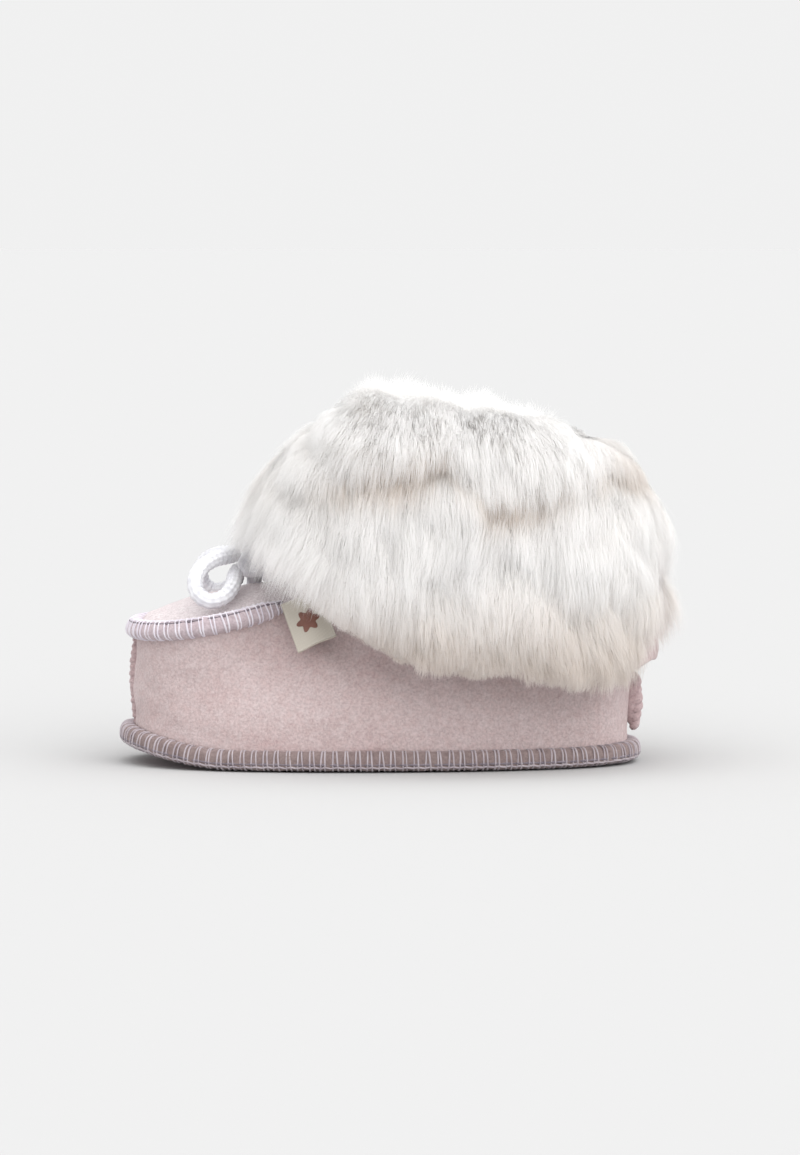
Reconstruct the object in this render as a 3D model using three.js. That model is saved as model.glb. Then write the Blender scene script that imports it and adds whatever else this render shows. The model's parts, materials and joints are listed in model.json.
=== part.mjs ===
// Baby bootie in suede with a wool lining and a turned-down wool cuff.
// Millimetres, +Z up. The toe points along -X, the wearer's left side is -Y.
// The upper is sewn like a moccasin: a flat sole, a left and a right wall and an apron over the
// toes, joined by raised overlocked seams, with a lace tied in a bow above the apron.

import * as THREE from 'three';

// Driving dimensions.
const SOLE_LENGTH = 125; // outside the sole seam, toe to heel
const SOLE_WIDTH = 62; // outside the sole seam, at the ball of the foot
const HEEL_WIDTH = 55; // outside the sole seam, at the heel
const TOE_SPRING = 5.2; // lift of the sole at the tip of the toe
const HEEL_LIFT = 0.6; // lift of the sole at the back of the heel
const TOE_HEIGHT = 32.3; // middle of the apron seam at the tip of the toe
const THROAT_HEIGHT = 39.8; // middle of the apron seam where it ends at the ankle
const APRON_WIDTH = 42; // between the middles of the apron seam, at its widest
const THROAT_WIDTH = 31; // the same, where the apron ends
const THROAT_SETBACK = 3; // end of the apron seam behind the front of the ankle
const APRON_RISE = 7.2; // crown of the apron above its seam
const COLLAR_LENGTH = 83; // hide of the ankle, front to back
const COLLAR_WIDTH = 55; // hide of the ankle, side to side
const COLLAR_HEIGHT = 69.8; // fold line of the cuff
const CUFF_CREST = 90.1; // top of the wool that stands above the fold
const HIDE = 1.4; // thickness of the suede
const SOLE_HIDE = 1.8; // thickness of the sole's suede
const PILE = 4.5; // thickness of the wool left on the inside of the hide
const INSOLE_PILE = 6; // thickness of the wool under the foot
const WELT = 4.6; // diameter of the overlocked sole and apron seams
const TOE_RIB = 2; // diameter of the short seam down the front of the toe
const HEEL_RIB = 3.6; // diameter of the seam down the back of the heel
const LACE = 3.6; // diameter of the lace
const LACE_HEIGHT = 47.8; // height of the lace around the ankle
const TAG_WIDTH = 10;
const TAG_LENGTH = 13;
const TAG_THICKNESS = 0.6;
const CLEARANCE = 0.3; // gap kept between neighbouring pieces

// Shares of the foot's shape that give it its character.
const WALL_INSET_TOE = 1.7; // wall's outer face behind the middle of the sole seam
const WALL_INSET_HEEL = 0.6;
const COLLAR_BACK_INSET = 1.5; // back of the ankle ahead of the end of the sole seam
const APRON_TIP_INSET = 3.9; // middle of the apron seam behind the tip of the sole seam
const SEAM_SHARE = 0.4; // part of the wall's run that ends at the apron seam
const THROAT_SHARE = 0.5; // part of the wall's run where the collar begins
const THROAT_ANGLE = 25; // degrees from the front, where the collar's front corner is
const APRON_SEAM_END = 0.83; // part of the apron seam's run that stands up as a welt
const TONGUE_GAP = 1.2; // between the tongue and the inner face of each wall

const HALF_SOLE = (SOLE_LENGTH - WELT) / 2;
const WALL_BASE = WELT + 2 * CLEARANCE + 0.1;
const COLLAR_BACK = SOLE_LENGTH / 2 - COLLAR_BACK_INSET;
const COLLAR_MIDDLE = COLLAR_BACK - COLLAR_LENGTH / 2;
const APRON_TIP = -SOLE_LENGTH / 2 + APRON_TIP_INSET;
const APRON_END = COLLAR_BACK - COLLAR_LENGTH + THROAT_SETBACK;
const APRON_LENGTH = APRON_END - APRON_TIP;
const SIDES = { left: -1, right: 1 };

const { clamp, lerp, smoothstep, degToRad } = THREE.MathUtils;

const suede = (colour) => new THREE.MeshStandardMaterial({ color: colour, roughness: 0.95, metalness: 0 });
const PINK = '#cdb8b8';
const SOLE_PINK = '#9c8186';
const SEAM_LILAC = '#cdbfc8';
const WOOL = '#efedea';
const LACE_WHITE = '#eff1f5';
const CREAM = '#dad5cb';

const bootie = new THREE.Group();
bootie.name = 'baby_bootie';

function add(name, geometry, colour) {
  const mesh = new THREE.Mesh(geometry, suede(colour));
  mesh.name = name;
  bootie.add(mesh);
}

// Curves of the foot --------------------------------------------------------------------------

// A rounded corner curve: cosine or sine with its ends squared off a little.
const square = (value, power) => Math.sign(value) * Math.abs(value) ** power;

// Middle of the sole seam in plan, for run 0 at the toe to 1 at the heel.
function soleOutline(run, side, inset = 0) {
  const angle = Math.PI * run;
  const halfWidth = lerp(SOLE_WIDTH, HEEL_WIDTH, smoothstep(run, 0.2, 0.9)) / 2 - WELT / 2;
  return new THREE.Vector2(
    -square(Math.cos(angle), 0.9) * (HALF_SOLE - inset),
    side * square(Math.sin(angle), 0.8) * (halfWidth - inset),
  );
}

// Height of the underside of the sole: flat in the middle, rising at the toe and the heel.
function soleLift(x) {
  const toe = clamp((-0.29 * SOLE_LENGTH - x) / (0.21 * SOLE_LENGTH), 0, 1);
  const heel = clamp((x - 0.34 * SOLE_LENGTH) / (0.16 * SOLE_LENGTH), 0, 1);
  return TOE_SPRING * toe ** 1.6 + HEEL_LIFT * heel ** 2;
}

// Middle of the apron seam, for run 0 at the tip of the toe to 1 at the ankle.
function apronSeam(run, side) {
  const round = Math.PI * clamp(run, 0, 0.5);
  const along = run < 0.5 ? (1 - Math.cos(round)) / 2 : run;
  const halfWidth = lerp(APRON_WIDTH, THROAT_WIDTH, smoothstep(run, 0.5, 1)) / 2;
  return new THREE.Vector3(
    lerp(APRON_TIP, APRON_END, along),
    side * halfWidth * square(Math.sin(round), 0.8),
    lerp(TOE_HEIGHT, THROAT_HEIGHT, along ** 1.8),
  );
}

// Outline of the ankle in plan, with a distance outwards, for angle 0 at the front to 180 degrees.
function collarPoint(degrees, side, outwards, z) {
  const angle = degToRad(degrees);
  const x = square(Math.cos(angle), 0.8) * COLLAR_LENGTH / 2;
  const y = square(Math.sin(angle), 0.8) * COLLAR_WIDTH / 2;
  const normal = new THREE.Vector2(
    square(Math.cos(angle), 1.2) / COLLAR_LENGTH,
    square(Math.sin(angle), 1.2) / COLLAR_WIDTH,
  ).normalize();
  return new THREE.Vector3(
    COLLAR_MIDDLE - x - normal.x * outwards,
    side * Math.max(y + normal.y * outwards, CLEARANCE),
    z,
  );
}

// Top edge of a wall: under the apron seam, up the throat, then round the collar.
function wallTop(run, side) {
  const underSeam = new THREE.Vector3(0, 0, -WELT / 2 - CLEARANCE);
  if (run < SEAM_SHARE) return apronSeam(run / SEAM_SHARE, side).add(underSeam);
  const corner = collarPoint(THROAT_ANGLE, side, 0, COLLAR_HEIGHT);
  if (run < THROAT_SHARE) {
    const up = (run - SEAM_SHARE) / (THROAT_SHARE - SEAM_SHARE);
    return apronSeam(1, side).add(underSeam).lerp(corner, up);
  }
  const round = (run - THROAT_SHARE) / (1 - THROAT_SHARE);
  return collarPoint(lerp(THROAT_ANGLE, 180, round), side, 0, COLLAR_HEIGHT);
}

// Outer face of a wall, for up 0 at the sole seam to 1 at the top edge.
function wallPoint(run, up, side) {
  const inset = lerp(WALL_INSET_TOE, WALL_INSET_HEEL, run);
  const foot = soleOutline(run, side, inset);
  const base = soleLift(soleOutline(run, side).x) + WALL_BASE;
  const top = wallTop(run, side);
  const collared = clamp((top.z - TOE_HEIGHT) / (COLLAR_HEIGHT - TOE_HEIGHT), 0, 1);
  const lean = smoothstep(up, 0.12, lerp(1, 0.6, collared));
  const y = lerp(foot.y, top.y, lean);
  return new THREE.Vector3(
    lerp(foot.x, top.x, lean),
    side * Math.max(side * y, CLEARANCE),
    lerp(base, top.z, up),
  );
}

// Half-width and place of the open throat between the two walls, at a height.
function throatEdge(z) {
  const low = wallTop(SEAM_SHARE, 1);
  const high = wallTop(THROAT_SHARE, 1);
  const up = clamp((z - low.z) / (high.z - low.z), 0, 1);
  return low.lerp(high, up);
}

// Closed solids -------------------------------------------------------------------------------

// Makes one closed body from vertices and faces, with its faces pointing out.
function closedBody(points, faces) {
  const geometry = new THREE.BufferGeometry();
  geometry.setAttribute('position', new THREE.Float32BufferAttribute(points.flatMap((p) => [p.x, p.y, p.z]), 3));
  const volume = faces.reduce((sum, [a, b, c]) => sum + points[a].dot(points[b].clone().cross(points[c])), 0);
  const outward = volume > 0 ? faces : faces.map(([a, b, c]) => [a, c, b]);
  geometry.setIndex(outward.flat());
  geometry.computeVertexNormals();
  return geometry;
}

// A grid of points, rows by columns, from a function of two shares.
function makeGrid(rows, columns, pointAt) {
  return Array.from({ length: rows + 1 }, (_, i) =>
    Array.from({ length: columns + 1 }, (_, j) => pointAt(i / rows, j / columns)));
}

// The same grid moved along its own normals, kept on its own side of the middle plane.
function offsetGrid(grid, distance, side = 0) {
  const last = (list) => list.length - 1;
  return grid.map((row, i) => row.map((point, j) => {
    const along = grid[Math.min(i + 1, last(grid))][j].clone().sub(grid[Math.max(i - 1, 0)][j]);
    const across = row[Math.min(j + 1, last(row))].clone().sub(row[Math.max(j - 1, 0)]);
    const moved = point.clone().addScaledVector(along.cross(across).normalize(), distance);
    if (side) moved.y = side * Math.max(side * moved.y, CLEARANCE);
    return moved;
  }));
}

// A sheet with thickness: two grids of the same size, closed all round.
function sheetSolid(front, back) {
  const rows = front.length;
  const columns = front[0].length;
  const points = [...front.flat(), ...back.flat()];
  const at = (layer, i, j) => layer * rows * columns + i * columns + j;
  const faces = [];
  const quad = (a, b, c, d) => faces.push([a, b, c], [a, c, d]);
  for (let i = 0; i < rows - 1; i++) {
    for (let j = 0; j < columns - 1; j++) {
      quad(at(0, i, j), at(0, i + 1, j), at(0, i + 1, j + 1), at(0, i, j + 1));
      quad(at(1, i, j), at(1, i, j + 1), at(1, i + 1, j + 1), at(1, i + 1, j));
    }
  }
  for (let j = 0; j < columns - 1; j++) {
    quad(at(0, 0, j), at(0, 0, j + 1), at(1, 0, j + 1), at(1, 0, j));
    quad(at(0, rows - 1, j + 1), at(0, rows - 1, j), at(1, rows - 1, j), at(1, rows - 1, j + 1));
  }
  for (let i = 0; i < rows - 1; i++) {
    quad(at(0, i + 1, 0), at(0, i, 0), at(1, i, 0), at(1, i + 1, 0));
    quad(at(0, i, columns - 1), at(0, i + 1, columns - 1), at(1, i + 1, columns - 1), at(1, i, columns - 1));
  }
  return closedBody(points, faces);
}

// A flat pad: an outline filled by rings, with a bottom and a top height over the plan.
function padSolid(outline, rings, bottomAt, topAt) {
  const count = outline.length;
  const points = [];
  for (const heightAt of [bottomAt, topAt]) {
    points.push(new THREE.Vector3(0, 0, heightAt(0)));
    for (let ring = 1; ring <= rings; ring++) {
      for (const edge of outline) {
        const x = edge.x * ring / rings;
        points.push(new THREE.Vector3(x, edge.y * ring / rings, heightAt(x)));
      }
    }
  }
  const layer = 1 + rings * count;
  const at = (side, ring, k) => side * layer + 1 + (ring - 1) * count + (k % count);
  const faces = [];
  for (let k = 0; k < count; k++) {
    faces.push([0, at(0, 1, k + 1), at(0, 1, k)], [layer, at(1, 1, k), at(1, 1, k + 1)]);
    for (let ring = 1; ring < rings; ring++) {
      faces.push([at(0, ring, k), at(0, ring, k + 1), at(0, ring + 1, k + 1)]);
      faces.push([at(0, ring, k), at(0, ring + 1, k + 1), at(0, ring + 1, k)]);
      faces.push([at(1, ring, k), at(1, ring + 1, k + 1), at(1, ring, k + 1)]);
      faces.push([at(1, ring, k), at(1, ring + 1, k), at(1, ring + 1, k + 1)]);
    }
    faces.push([at(0, rings, k), at(0, rings, k + 1), at(1, rings, k + 1)]);
    faces.push([at(0, rings, k), at(1, rings, k + 1), at(1, rings, k)]);
  }
  return closedBody(points, faces);
}

// A round section swept along a smooth curve through the given points.
function ropeSolid(points, diameter, step, sides = 8, closed = false) {
  const route = new THREE.CatmullRomCurve3(points, closed, 'centripetal');
  const section = new THREE.Shape();
  for (let k = 0; k < sides; k++) {
    const angle = 2 * Math.PI * k / sides;
    const place = [Math.cos(angle) * diameter / 2, Math.sin(angle) * diameter / 2];
    if (k === 0) section.moveTo(...place);
    else section.lineTo(...place);
  }
  const steps = Math.max(3, Math.round(route.getLength() / step));
  return new THREE.ExtrudeGeometry(section, { steps, extrudePath: route, bevelEnabled: false });
}

// A closed section swept along one half of the ankle.
function loftSolid(stations) {
  const size = stations[0].section.length;
  const points = stations.flatMap((station) => station.section);
  const faces = [];
  for (let i = 0; i < stations.length - 1; i++) {
    for (let k = 0; k < size; k++) {
      const next = (k + 1) % size;
      faces.push([i * size + k, (i + 1) * size + k, (i + 1) * size + next]);
      faces.push([i * size + k, (i + 1) * size + next, i * size + next]);
    }
  }
  const cap = (index, flip) => {
    const flat = stations[index].flat;
    for (const [a, b, c] of THREE.ShapeUtils.triangulateShape(flat, [])) {
      const corners = [a, b, c].map((k) => index * size + k);
      faces.push(flip ? corners.reverse() : corners);
    }
  };
  const clockwise = THREE.ShapeUtils.isClockWise(stations[0].flat);
  cap(0, clockwise);
  cap(stations.length - 1, !clockwise);
  return closedBody(points, faces);
}

// Sole ----------------------------------------------------------------------------------------

function outlineLoop(count, inset) {
  return Array.from({ length: count }, (_, k) => {
    const run = 2 * k / count;
    return run <= 1 ? soleOutline(run, SIDES.left, inset) : soleOutline(2 - run, SIDES.right, inset);
  });
}

const soleInset = WELT / 2 + CLEARANCE;
add('sole_hide', padSolid(outlineLoop(72, soleInset), 6, soleLift, (x) => soleLift(x) + SOLE_HIDE), SOLE_PINK);

const insoleBase = SOLE_HIDE + CLEARANCE;
const insetInsole = WALL_INSET_TOE + HIDE + PILE + 3 * CLEARANCE + 0.6;
add('insole_wool', padSolid(outlineLoop(48, insetInsole), 4,
  (x) => soleLift(x) + insoleBase, (x) => soleLift(x) + insoleBase + INSOLE_PILE), WOOL);

// The overlocked seam that joins the sole to the walls, one closed ring.
function ringSolid(count, sides) {
  const loop = outlineLoop(count, 0).map((p) => new THREE.Vector3(p.x, p.y, soleLift(p.x) + 0.4 + WELT / 2));
  const points = [];
  loop.forEach((centre, k) => {
    const along = loop[(k + 1) % count].clone().sub(loop[(k + count - 1) % count]).setZ(0).normalize();
    const outward = new THREE.Vector3(along.y, -along.x, 0);
    for (let s = 0; s < sides; s++) {
      const angle = 2 * Math.PI * s / sides;
      points.push(centre.clone()
        .addScaledVector(outward, Math.cos(angle) * WELT / 2)
        .add(new THREE.Vector3(0, 0, Math.sin(angle) * WELT / 2)));
    }
  });
  const faces = [];
  for (let k = 0; k < count; k++) {
    for (let s = 0; s < sides; s++) {
      const [a, b] = [k * sides + s, k * sides + (s + 1) % sides];
      const next = ((k + 1) % count) * sides;
      faces.push([a, next + s, next + (s + 1) % sides], [a, next + (s + 1) % sides, b]);
    }
  }
  return closedBody(points, faces);
}
add('sole_welt', ringSolid(84, 8), SEAM_LILAC);

// Walls: suede outside, wool inside -------------------------------------------------------------

// The wool lining stops short of the throat, where the tongue lies against the hide.
function liningReach(run) {
  const dip = smoothstep(run, SEAM_SHARE - 0.06, THROAT_SHARE) - smoothstep(run, THROAT_SHARE, THROAT_SHARE + 0.07);
  return 1 - 0.6 * dip;
}

for (const [name, side] of Object.entries(SIDES)) {
  const outer = makeGrid(36, 12, (run, up) => wallPoint(run, up, side));
  const inwards = side;
  add(`wall_hide_${name}`, sheetSolid(outer, offsetGrid(outer, inwards * HIDE, side)), PINK);
  const backed = makeGrid(36, 12, (run, up) => wallPoint(run, up * liningReach(run), side));
  const face = inwards * (HIDE + 3.5 * CLEARANCE);
  add(`wall_wool_${name}`,
    sheetSolid(offsetGrid(backed, face, side), offsetGrid(backed, face + inwards * PILE, side)), WOOL);
}

// Raised seams up the front of the toe and the back of the heel.
function ribPoints(run, from, to, reach) {
  return Array.from({ length: 5 }, (_, k) => {
    const point = wallPoint(run, lerp(from, to, k / 4), SIDES.right);
    return new THREE.Vector3(point.x + reach, 0, point.z);
  });
}
const toeReach = -(TOE_RIB / 2 + CLEARANCE + 0.1);
add('toe_welt', ropeSolid(ribPoints(0, 0.06, 0.9, toeReach), TOE_RIB, 5), SEAM_LILAC);
const heelReach = HEEL_RIB / 2 + CLEARANCE + 0.1;
add('heel_welt', ropeSolid(ribPoints(1, 0.04, 0.23, heelReach), HEEL_RIB, 4), SEAM_LILAC);

// Apron and tongue ------------------------------------------------------------------------------

const seamRuns = Array.from({ length: 13 }, (_, k) => APRON_SEAM_END * (1 - k / 12));
add('apron_welt', ropeSolid([
  ...seamRuns.map((run) => apronSeam(run, SIDES.left)),
  ...seamRuns.reverse().slice(1).map((run) => apronSeam(run, SIDES.right)),
], WELT, 3.6, 8), SEAM_LILAC);

// Domed panel over the toes: share 0 at the tip to 1 at the ankle, across -1 to 1.
function apronPoint(share, across, inset) {
  const run = lerp(0.1, 1, share);
  const seam = apronSeam(run, SIDES.right);
  const ahead = apronSeam(Math.min(run + 0.01, 1), SIDES.right);
  const along = ahead.sub(apronSeam(run - 0.01, SIDES.right)).setZ(0).normalize();
  const edge = seam.clone().add(new THREE.Vector3(along.y, -along.x, 0).multiplyScalar(inset));
  const depth = clamp((edge.x - APRON_TIP) / APRON_LENGTH, 0, 1);
  const rise = APRON_RISE * (1 - (1 - depth) ** 5) * (1 - 0.45 * depth ** 2);
  return new THREE.Vector3(edge.x, across * edge.y, seam.z + 0.5 + rise * (1 - across ** 2));
}

const apronInset = WELT / 2 + CLEARANCE;
const apronOuter = makeGrid(16, 14, (share, across) => apronPoint(share, 2 * across - 1, apronInset));
add('apron_hide', sheetSolid(apronOuter, offsetGrid(apronOuter, -HIDE)), PINK);
const pileInset = HIDE + PILE + 3 * CLEARANCE;
const apronUnder = makeGrid(12, 10, (share, across) => apronPoint(share, 2 * across - 1, pileInset));
add('apron_wool', sheetSolid(
  offsetGrid(apronUnder, -HIDE - 2 * CLEARANCE),
  offsetGrid(apronUnder, -HIDE - 2 * CLEARANCE - PILE),
), WOOL);

// The tongue carries the apron on up the front of the ankle, between the two walls.
function tonguePoint(up, across, narrowing, bottomGap) {
  const bottom = apronPoint(1, across, apronInset).z + bottomGap;
  const z = lerp(bottom, COLLAR_HEIGHT, up);
  const edge = throatEdge(z);
  const bulge = 2.6 * smoothstep(up, 0, 0.8) * (1 - across ** 2);
  return new THREE.Vector3(edge.x - 0.2 - bulge, across * (edge.y - narrowing), z);
}
const tongueOuter = makeGrid(12, 10,
  (up, across) => tonguePoint(up, 2 * across - 1, HIDE + TONGUE_GAP, 0.6));
add('tongue_hide', sheetSolid(tongueOuter, offsetGrid(tongueOuter, -HIDE)), PINK);
const tongueUnder = makeGrid(10, 8, (up, across) => tonguePoint(up, 2 * across - 1, HIDE + PILE + 2, 2));
add('tongue_wool', sheetSolid(
  offsetGrid(tongueUnder, -HIDE - CLEARANCE),
  offsetGrid(tongueUnder, -HIDE - CLEARANCE - PILE * 0.7),
), WOOL);

// Turned-down cuff ------------------------------------------------------------------------------

// How far the lace and the cuff stand off the ankle: more at the front, over the throat.
const frontness = (degrees) => Math.max(0, Math.cos(degToRad(degrees))) ** 2;
const laceReach = (degrees) => LACE / 2 + 1.3 * CLEARANCE + 2.4 * frontness(degrees);

// Inner face of the turned-down hide: close to the collar above, over the lace below.
function cuffGap(degrees, z) {
  const lifted = smoothstep(LACE_HEIGHT + 12 - z, 0, 9);
  return lerp(0.5 + 1.5 * frontness(degrees), laceReach(degrees) + LACE / 2 + CLEARANCE + 0.1, lifted);
}

// Lower edge of the hanging wool, from the front over the bow down to the heel.
const HEM = [[0, 52.6], [26, 52.3], [40, 44.8], [52, 35.3], [62, 28.8], [78, 24.8], [95, 21.3], [125, 19.8], [180, 20.3]];
// Top of the wool: low over the bow, highest ahead of the ankle's middle, lower at the heel.
const CREST = [[0, -13], [25, -9], [45, -3.5], [62, 0], [80, -1], [105, -5.5], [135, -9], [160, -13], [180, -15]];
// Thickness of hide and wool together, outwards from the ankle.
const FULLNESS = [[0, 11.5], [30, 13], [60, 14.5], [120, 14.5], [155, 11.5], [180, 10.2]];

function between(table, degrees) {
  const next = Math.max(1, table.findIndex(([angle]) => angle >= degrees));
  const [from, low] = table[next - 1];
  const [to, high] = table[next];
  return lerp(low, high, smoothstep(degrees, from, to));
}

const CUFF_FRONT = 3; // degrees left open between the halves at the front
const CUFF_BACK = 179.2;

function cuffHide(side) {
  const sheet = (extra) => makeGrid(30, 8, (round, up) => {
    const degrees = lerp(CUFF_FRONT, CUFF_BACK, round);
    const z = lerp(between(HEM, degrees) + 4, COLLAR_HEIGHT - 0.5, up);
    return collarPoint(degrees, side, cuffGap(degrees, z) + extra, z);
  });
  return sheetSolid(sheet(0), sheet(HIDE));
}

// Section of the cuff's wool: over the fold, round the roll and down to the hem.
function cuffSection(degrees) {
  const hem = between(HEM, degrees);
  const crest = CUFF_CREST + between(CREST, degrees);
  const full = between(FULLNESS, degrees);
  const inner = (z) => cuffGap(degrees, z) + HIDE + 2 * CLEARANCE;
  const fold = COLLAR_HEIGHT + CLEARANCE + 0.1;
  const inside = -(HIDE + CLEARANCE + PILE);
  const [notch, lip] = [lerp(fold, crest, 0.1), lerp(fold, crest, 0.55)];
  const waist = lerp(hem, fold, 0.75);
  const [low, closed] = [hem + 0.6, LACE_HEIGHT + 12.5];
  const open = Math.max(LACE_HEIGHT + 3, low + 1.5);
  const backing = [low, lerp(low, open, 0.5), open, lerp(open, closed, 0.33), lerp(open, closed, 0.67), closed];
  return [
    ...backing.map((z) => [inner(z), z]), [inner(fold), fold], [inside, fold], [inside - 1.2, lip], [inside + 2.4, crest - 2.2],
    [0.3 * full, crest], [0.66 * full, crest - 1.6], [0.9 * full, lip], [0.9 * full, notch],
    [0.98 * full, waist], [full, lerp(hem, waist, 0.5)], [0.96 * full, hem + 3.5],
    [Math.max(0.82 * full, inner(hem) + 1.5), hem],
  ];
}

function cuffWool(side) {
  const count = 30;
  return loftSolid(Array.from({ length: count + 1 }, (_, k) => {
    const degrees = lerp(CUFF_FRONT, CUFF_BACK, k / count);
    const profile = cuffSection(degrees);
    return {
      flat: profile.map(([out, z]) => new THREE.Vector2(out, z)),
      section: profile.map(([out, z]) => collarPoint(degrees, side, out, z)),
    };
  }));
}

for (const [name, side] of Object.entries(SIDES)) {
  add(`cuff_hide_${name}`, cuffHide(side), PINK);
  add(`cuff_wool_${name}`, cuffWool(side), WOOL);
}

// Lace ------------------------------------------------------------------------------------------

// The stretch held between the ankle and the cuff, both ends coming forward to the knot.
const KNOT = new THREE.Vector3(COLLAR_BACK - COLLAR_LENGTH - 9, 0, LACE_HEIGHT - 0.4);
function laceAround() {
  const turns = Array.from({ length: 25 }, (_, k) => 15 + 330 * k / 24);
  const ring = turns.map((turn) => {
    const [degrees, side] = turn <= 180 ? [turn, SIDES.left] : [360 - turn, SIDES.right];
    return collarPoint(degrees, side, laceReach(degrees), LACE_HEIGHT);
  });
  const join = (side) => new THREE.Vector3(KNOT.x + 3.9, side * 2.3, LACE_HEIGHT + 0.4);
  ring[12].y = 0;
  return [join(SIDES.left), ...ring, join(SIDES.right)];
}
add('lace_around_ankle', ropeSolid(laceAround(), LACE, 7), LACE_WHITE);

const knotShape = new THREE.SphereGeometry(3.1, 14, 10);
knotShape.scale(1, 1.05, 1.1).translate(KNOT.x, KNOT.y, KNOT.z);
add('lace_knot', knotShape, LACE_WHITE);

// Points are measured from the knot, for the wearer's left; the right loop is the same mirrored.
const LOOP = [
  [-3.5, -1.6, 2.5], [-5.6, -5.4, 2.2], [-8.6, -9.6, 1.7], [-11.4, -13.2, 0.0], [-12.8, -15.8, -2.8],
  [-12.2, -17.2, -5.8], [-9.6, -17.6, -7.6], [-6.2, -16.0, -6.9], [-4.2, -12.4, -4.6],
  [-3.8, -8.2, -2.8], [-3.5, -4.8, -1.7],
];
for (const [name, side] of Object.entries(SIDES)) {
  const points = LOOP.map(([x, y, z]) => new THREE.Vector3(KNOT.x + x, KNOT.y - side * y, KNOT.z + z));
  add(`bow_loop_${name}`, ropeSolid(points, LACE, 4.2), LACE_WHITE);
}

// The two free ends lie over the far side of the apron and down the far wall.
const TAIL_RISE = WELT - 4.6; // the points fit a seam of 4.6, and past the knot they rise with a thicker one
const TAILS = {
  front: [
    [0.0, 4.2, -0.8], [0.5, 9.0, -2.4], [0.4, 13.6, -4.2], [0.2, 18.2, -5.4], [0.0, 22.0, -7.2],
    [-0.3, 24.8, -10.9], [-0.6, 25.2, -15.6], [-0.9, 26.4, -20.6], [-1.2, 28.4, -26.2], [-1.4, 30.2, -31.6],
  ],
  back: [
    [3.4, 5.6, -2.9], [4.3, 9.4, -3.2], [4.7, 13.2, -4.2], [4.7, 17.2, -5.1], [4.5, 20.8, -6.6],
    [4.2, 23.8, -10.2], [3.9, 24.4, -15.0], [3.6, 25.6, -20.2], [3.4, 27.8, -25.6],
  ],
};
for (const [name, route] of Object.entries(TAILS)) {
  const points = route.map(([x, y, z], k) => {
    const rise = TAIL_RISE * THREE.MathUtils.clamp((k - 1) / 2, 0, 1);
    return new THREE.Vector3(KNOT.x + x, y, KNOT.z + z + rise);
  });
  add(`lace_tail_${name}`, ropeSolid(points, LACE, 6), LACE_WHITE);
  const end = points.at(-1).clone();
  const back = end.clone().sub(points.at(-2)).normalize();
  const stop = new THREE.SphereGeometry(2.7, 12, 8);
  stop.translate(...end.addScaledVector(back, 2.7 + CLEARANCE).toArray());
  add(`tail_knot_${name}`, stop, LACE_WHITE);
}

// Side tag --------------------------------------------------------------------------------------

// A folded woven tag sewn by its top edge to the left wall, hanging from under the cuff.
const TAG_SETBACK = 1.5; // its top edge behind the end of the apron seam
const TAG_DROP = 0.5; // and below it
const TAG_TILT = 26; // degrees its lower end swings towards the heel

// The left wall's outer face at a height, for a share of its run.
function wallAt(run, z) {
  const base = wallPoint(run, 0, SIDES.left).z;
  return wallPoint(run, (z - base) / (wallPoint(run, 1, SIDES.left).z - base), SIDES.left);
}

// The same face at a place along the foot, found by halving the run.
function wallBeside(x, z) {
  let [near, far] = [0.2, 0.7];
  for (let halving = 0; halving < 20; halving++) {
    const middle = (near + far) / 2;
    if (wallAt(middle, z).x < x) near = middle;
    else far = middle;
  }
  return wallAt(near, z);
}

// Frame of the tag: across its width, away from the wall, and up along its length.
function tagFrame() {
  const [x, z] = [APRON_END + TAG_SETBACK, THROAT_HEIGHT - TAG_DROP];
  const top = wallBeside(x, z);
  const across = wallBeside(x - TAG_WIDTH / 2, z - TAG_LENGTH / 2)
    .sub(wallBeside(x + TAG_WIDTH, z - TAG_LENGTH / 2)).normalize();
  const up = top.clone().sub(wallBeside(x + TAG_WIDTH / 2, z - TAG_LENGTH)).normalize();
  const away = up.clone().cross(across).normalize();
  up.crossVectors(across, away).applyAxisAngle(away, degToRad(TAG_TILT));
  across.crossVectors(away, up);
  const proud = Math.max(...underTag(top, across, up).map((point) => point.sub(top).dot(away)));
  return { top: top.addScaledVector(away, TAG_THICKNESS / 2 + proud + 2 * CLEARANCE), across, away, up };
}

// Points of the wall and of the end of the apron seam that lie under the tag.
function underTag(top, across, up) {
  const wall = makeGrid(40, 24, (run, height) => wallPoint(lerp(0.3, 0.6, run), height, SIDES.left)).flat();
  const seam = Array.from({ length: 20 }, (_, k) => apronSeam(APRON_SEAM_END * (1 - k / 60), SIDES.left));
  const beside = (point, slack) => {
    const from = point.clone().sub(top);
    const aside = Math.abs(from.dot(across)) < TAG_WIDTH / 2 + slack;
    return aside && from.dot(up) < slack && from.dot(up) > -TAG_LENGTH - slack;
  };
  const outward = across.clone().cross(up).normalize().multiplyScalar(-WELT / 2);
  return [
    ...wall.filter((point) => beside(point, 0.5)),
    ...seam.filter((point) => beside(point, WELT / 2)).map((point) => point.add(outward)),
  ];
}
const tag = tagFrame();
const tagPlate = new THREE.BoxGeometry(TAG_WIDTH, TAG_THICKNESS, TAG_LENGTH);
tagPlate.translate(0, 0, -TAG_LENGTH / 2);
tagPlate.applyMatrix4(new THREE.Matrix4().makeBasis(tag.across, tag.away, tag.up).setPosition(tag.top));
add('side_tag', tagPlate, CREAM);

// Stand the bootie on the floor, with its origin under the middle of its box.
const box = new THREE.Box3().setFromObject(bootie);
bootie.position.set(-(box.min.x + box.max.x) / 2, -(box.min.y + box.max.y) / 2, -box.min.z);
bootie.updateMatrixWorld(true);

export default bootie;
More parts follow.
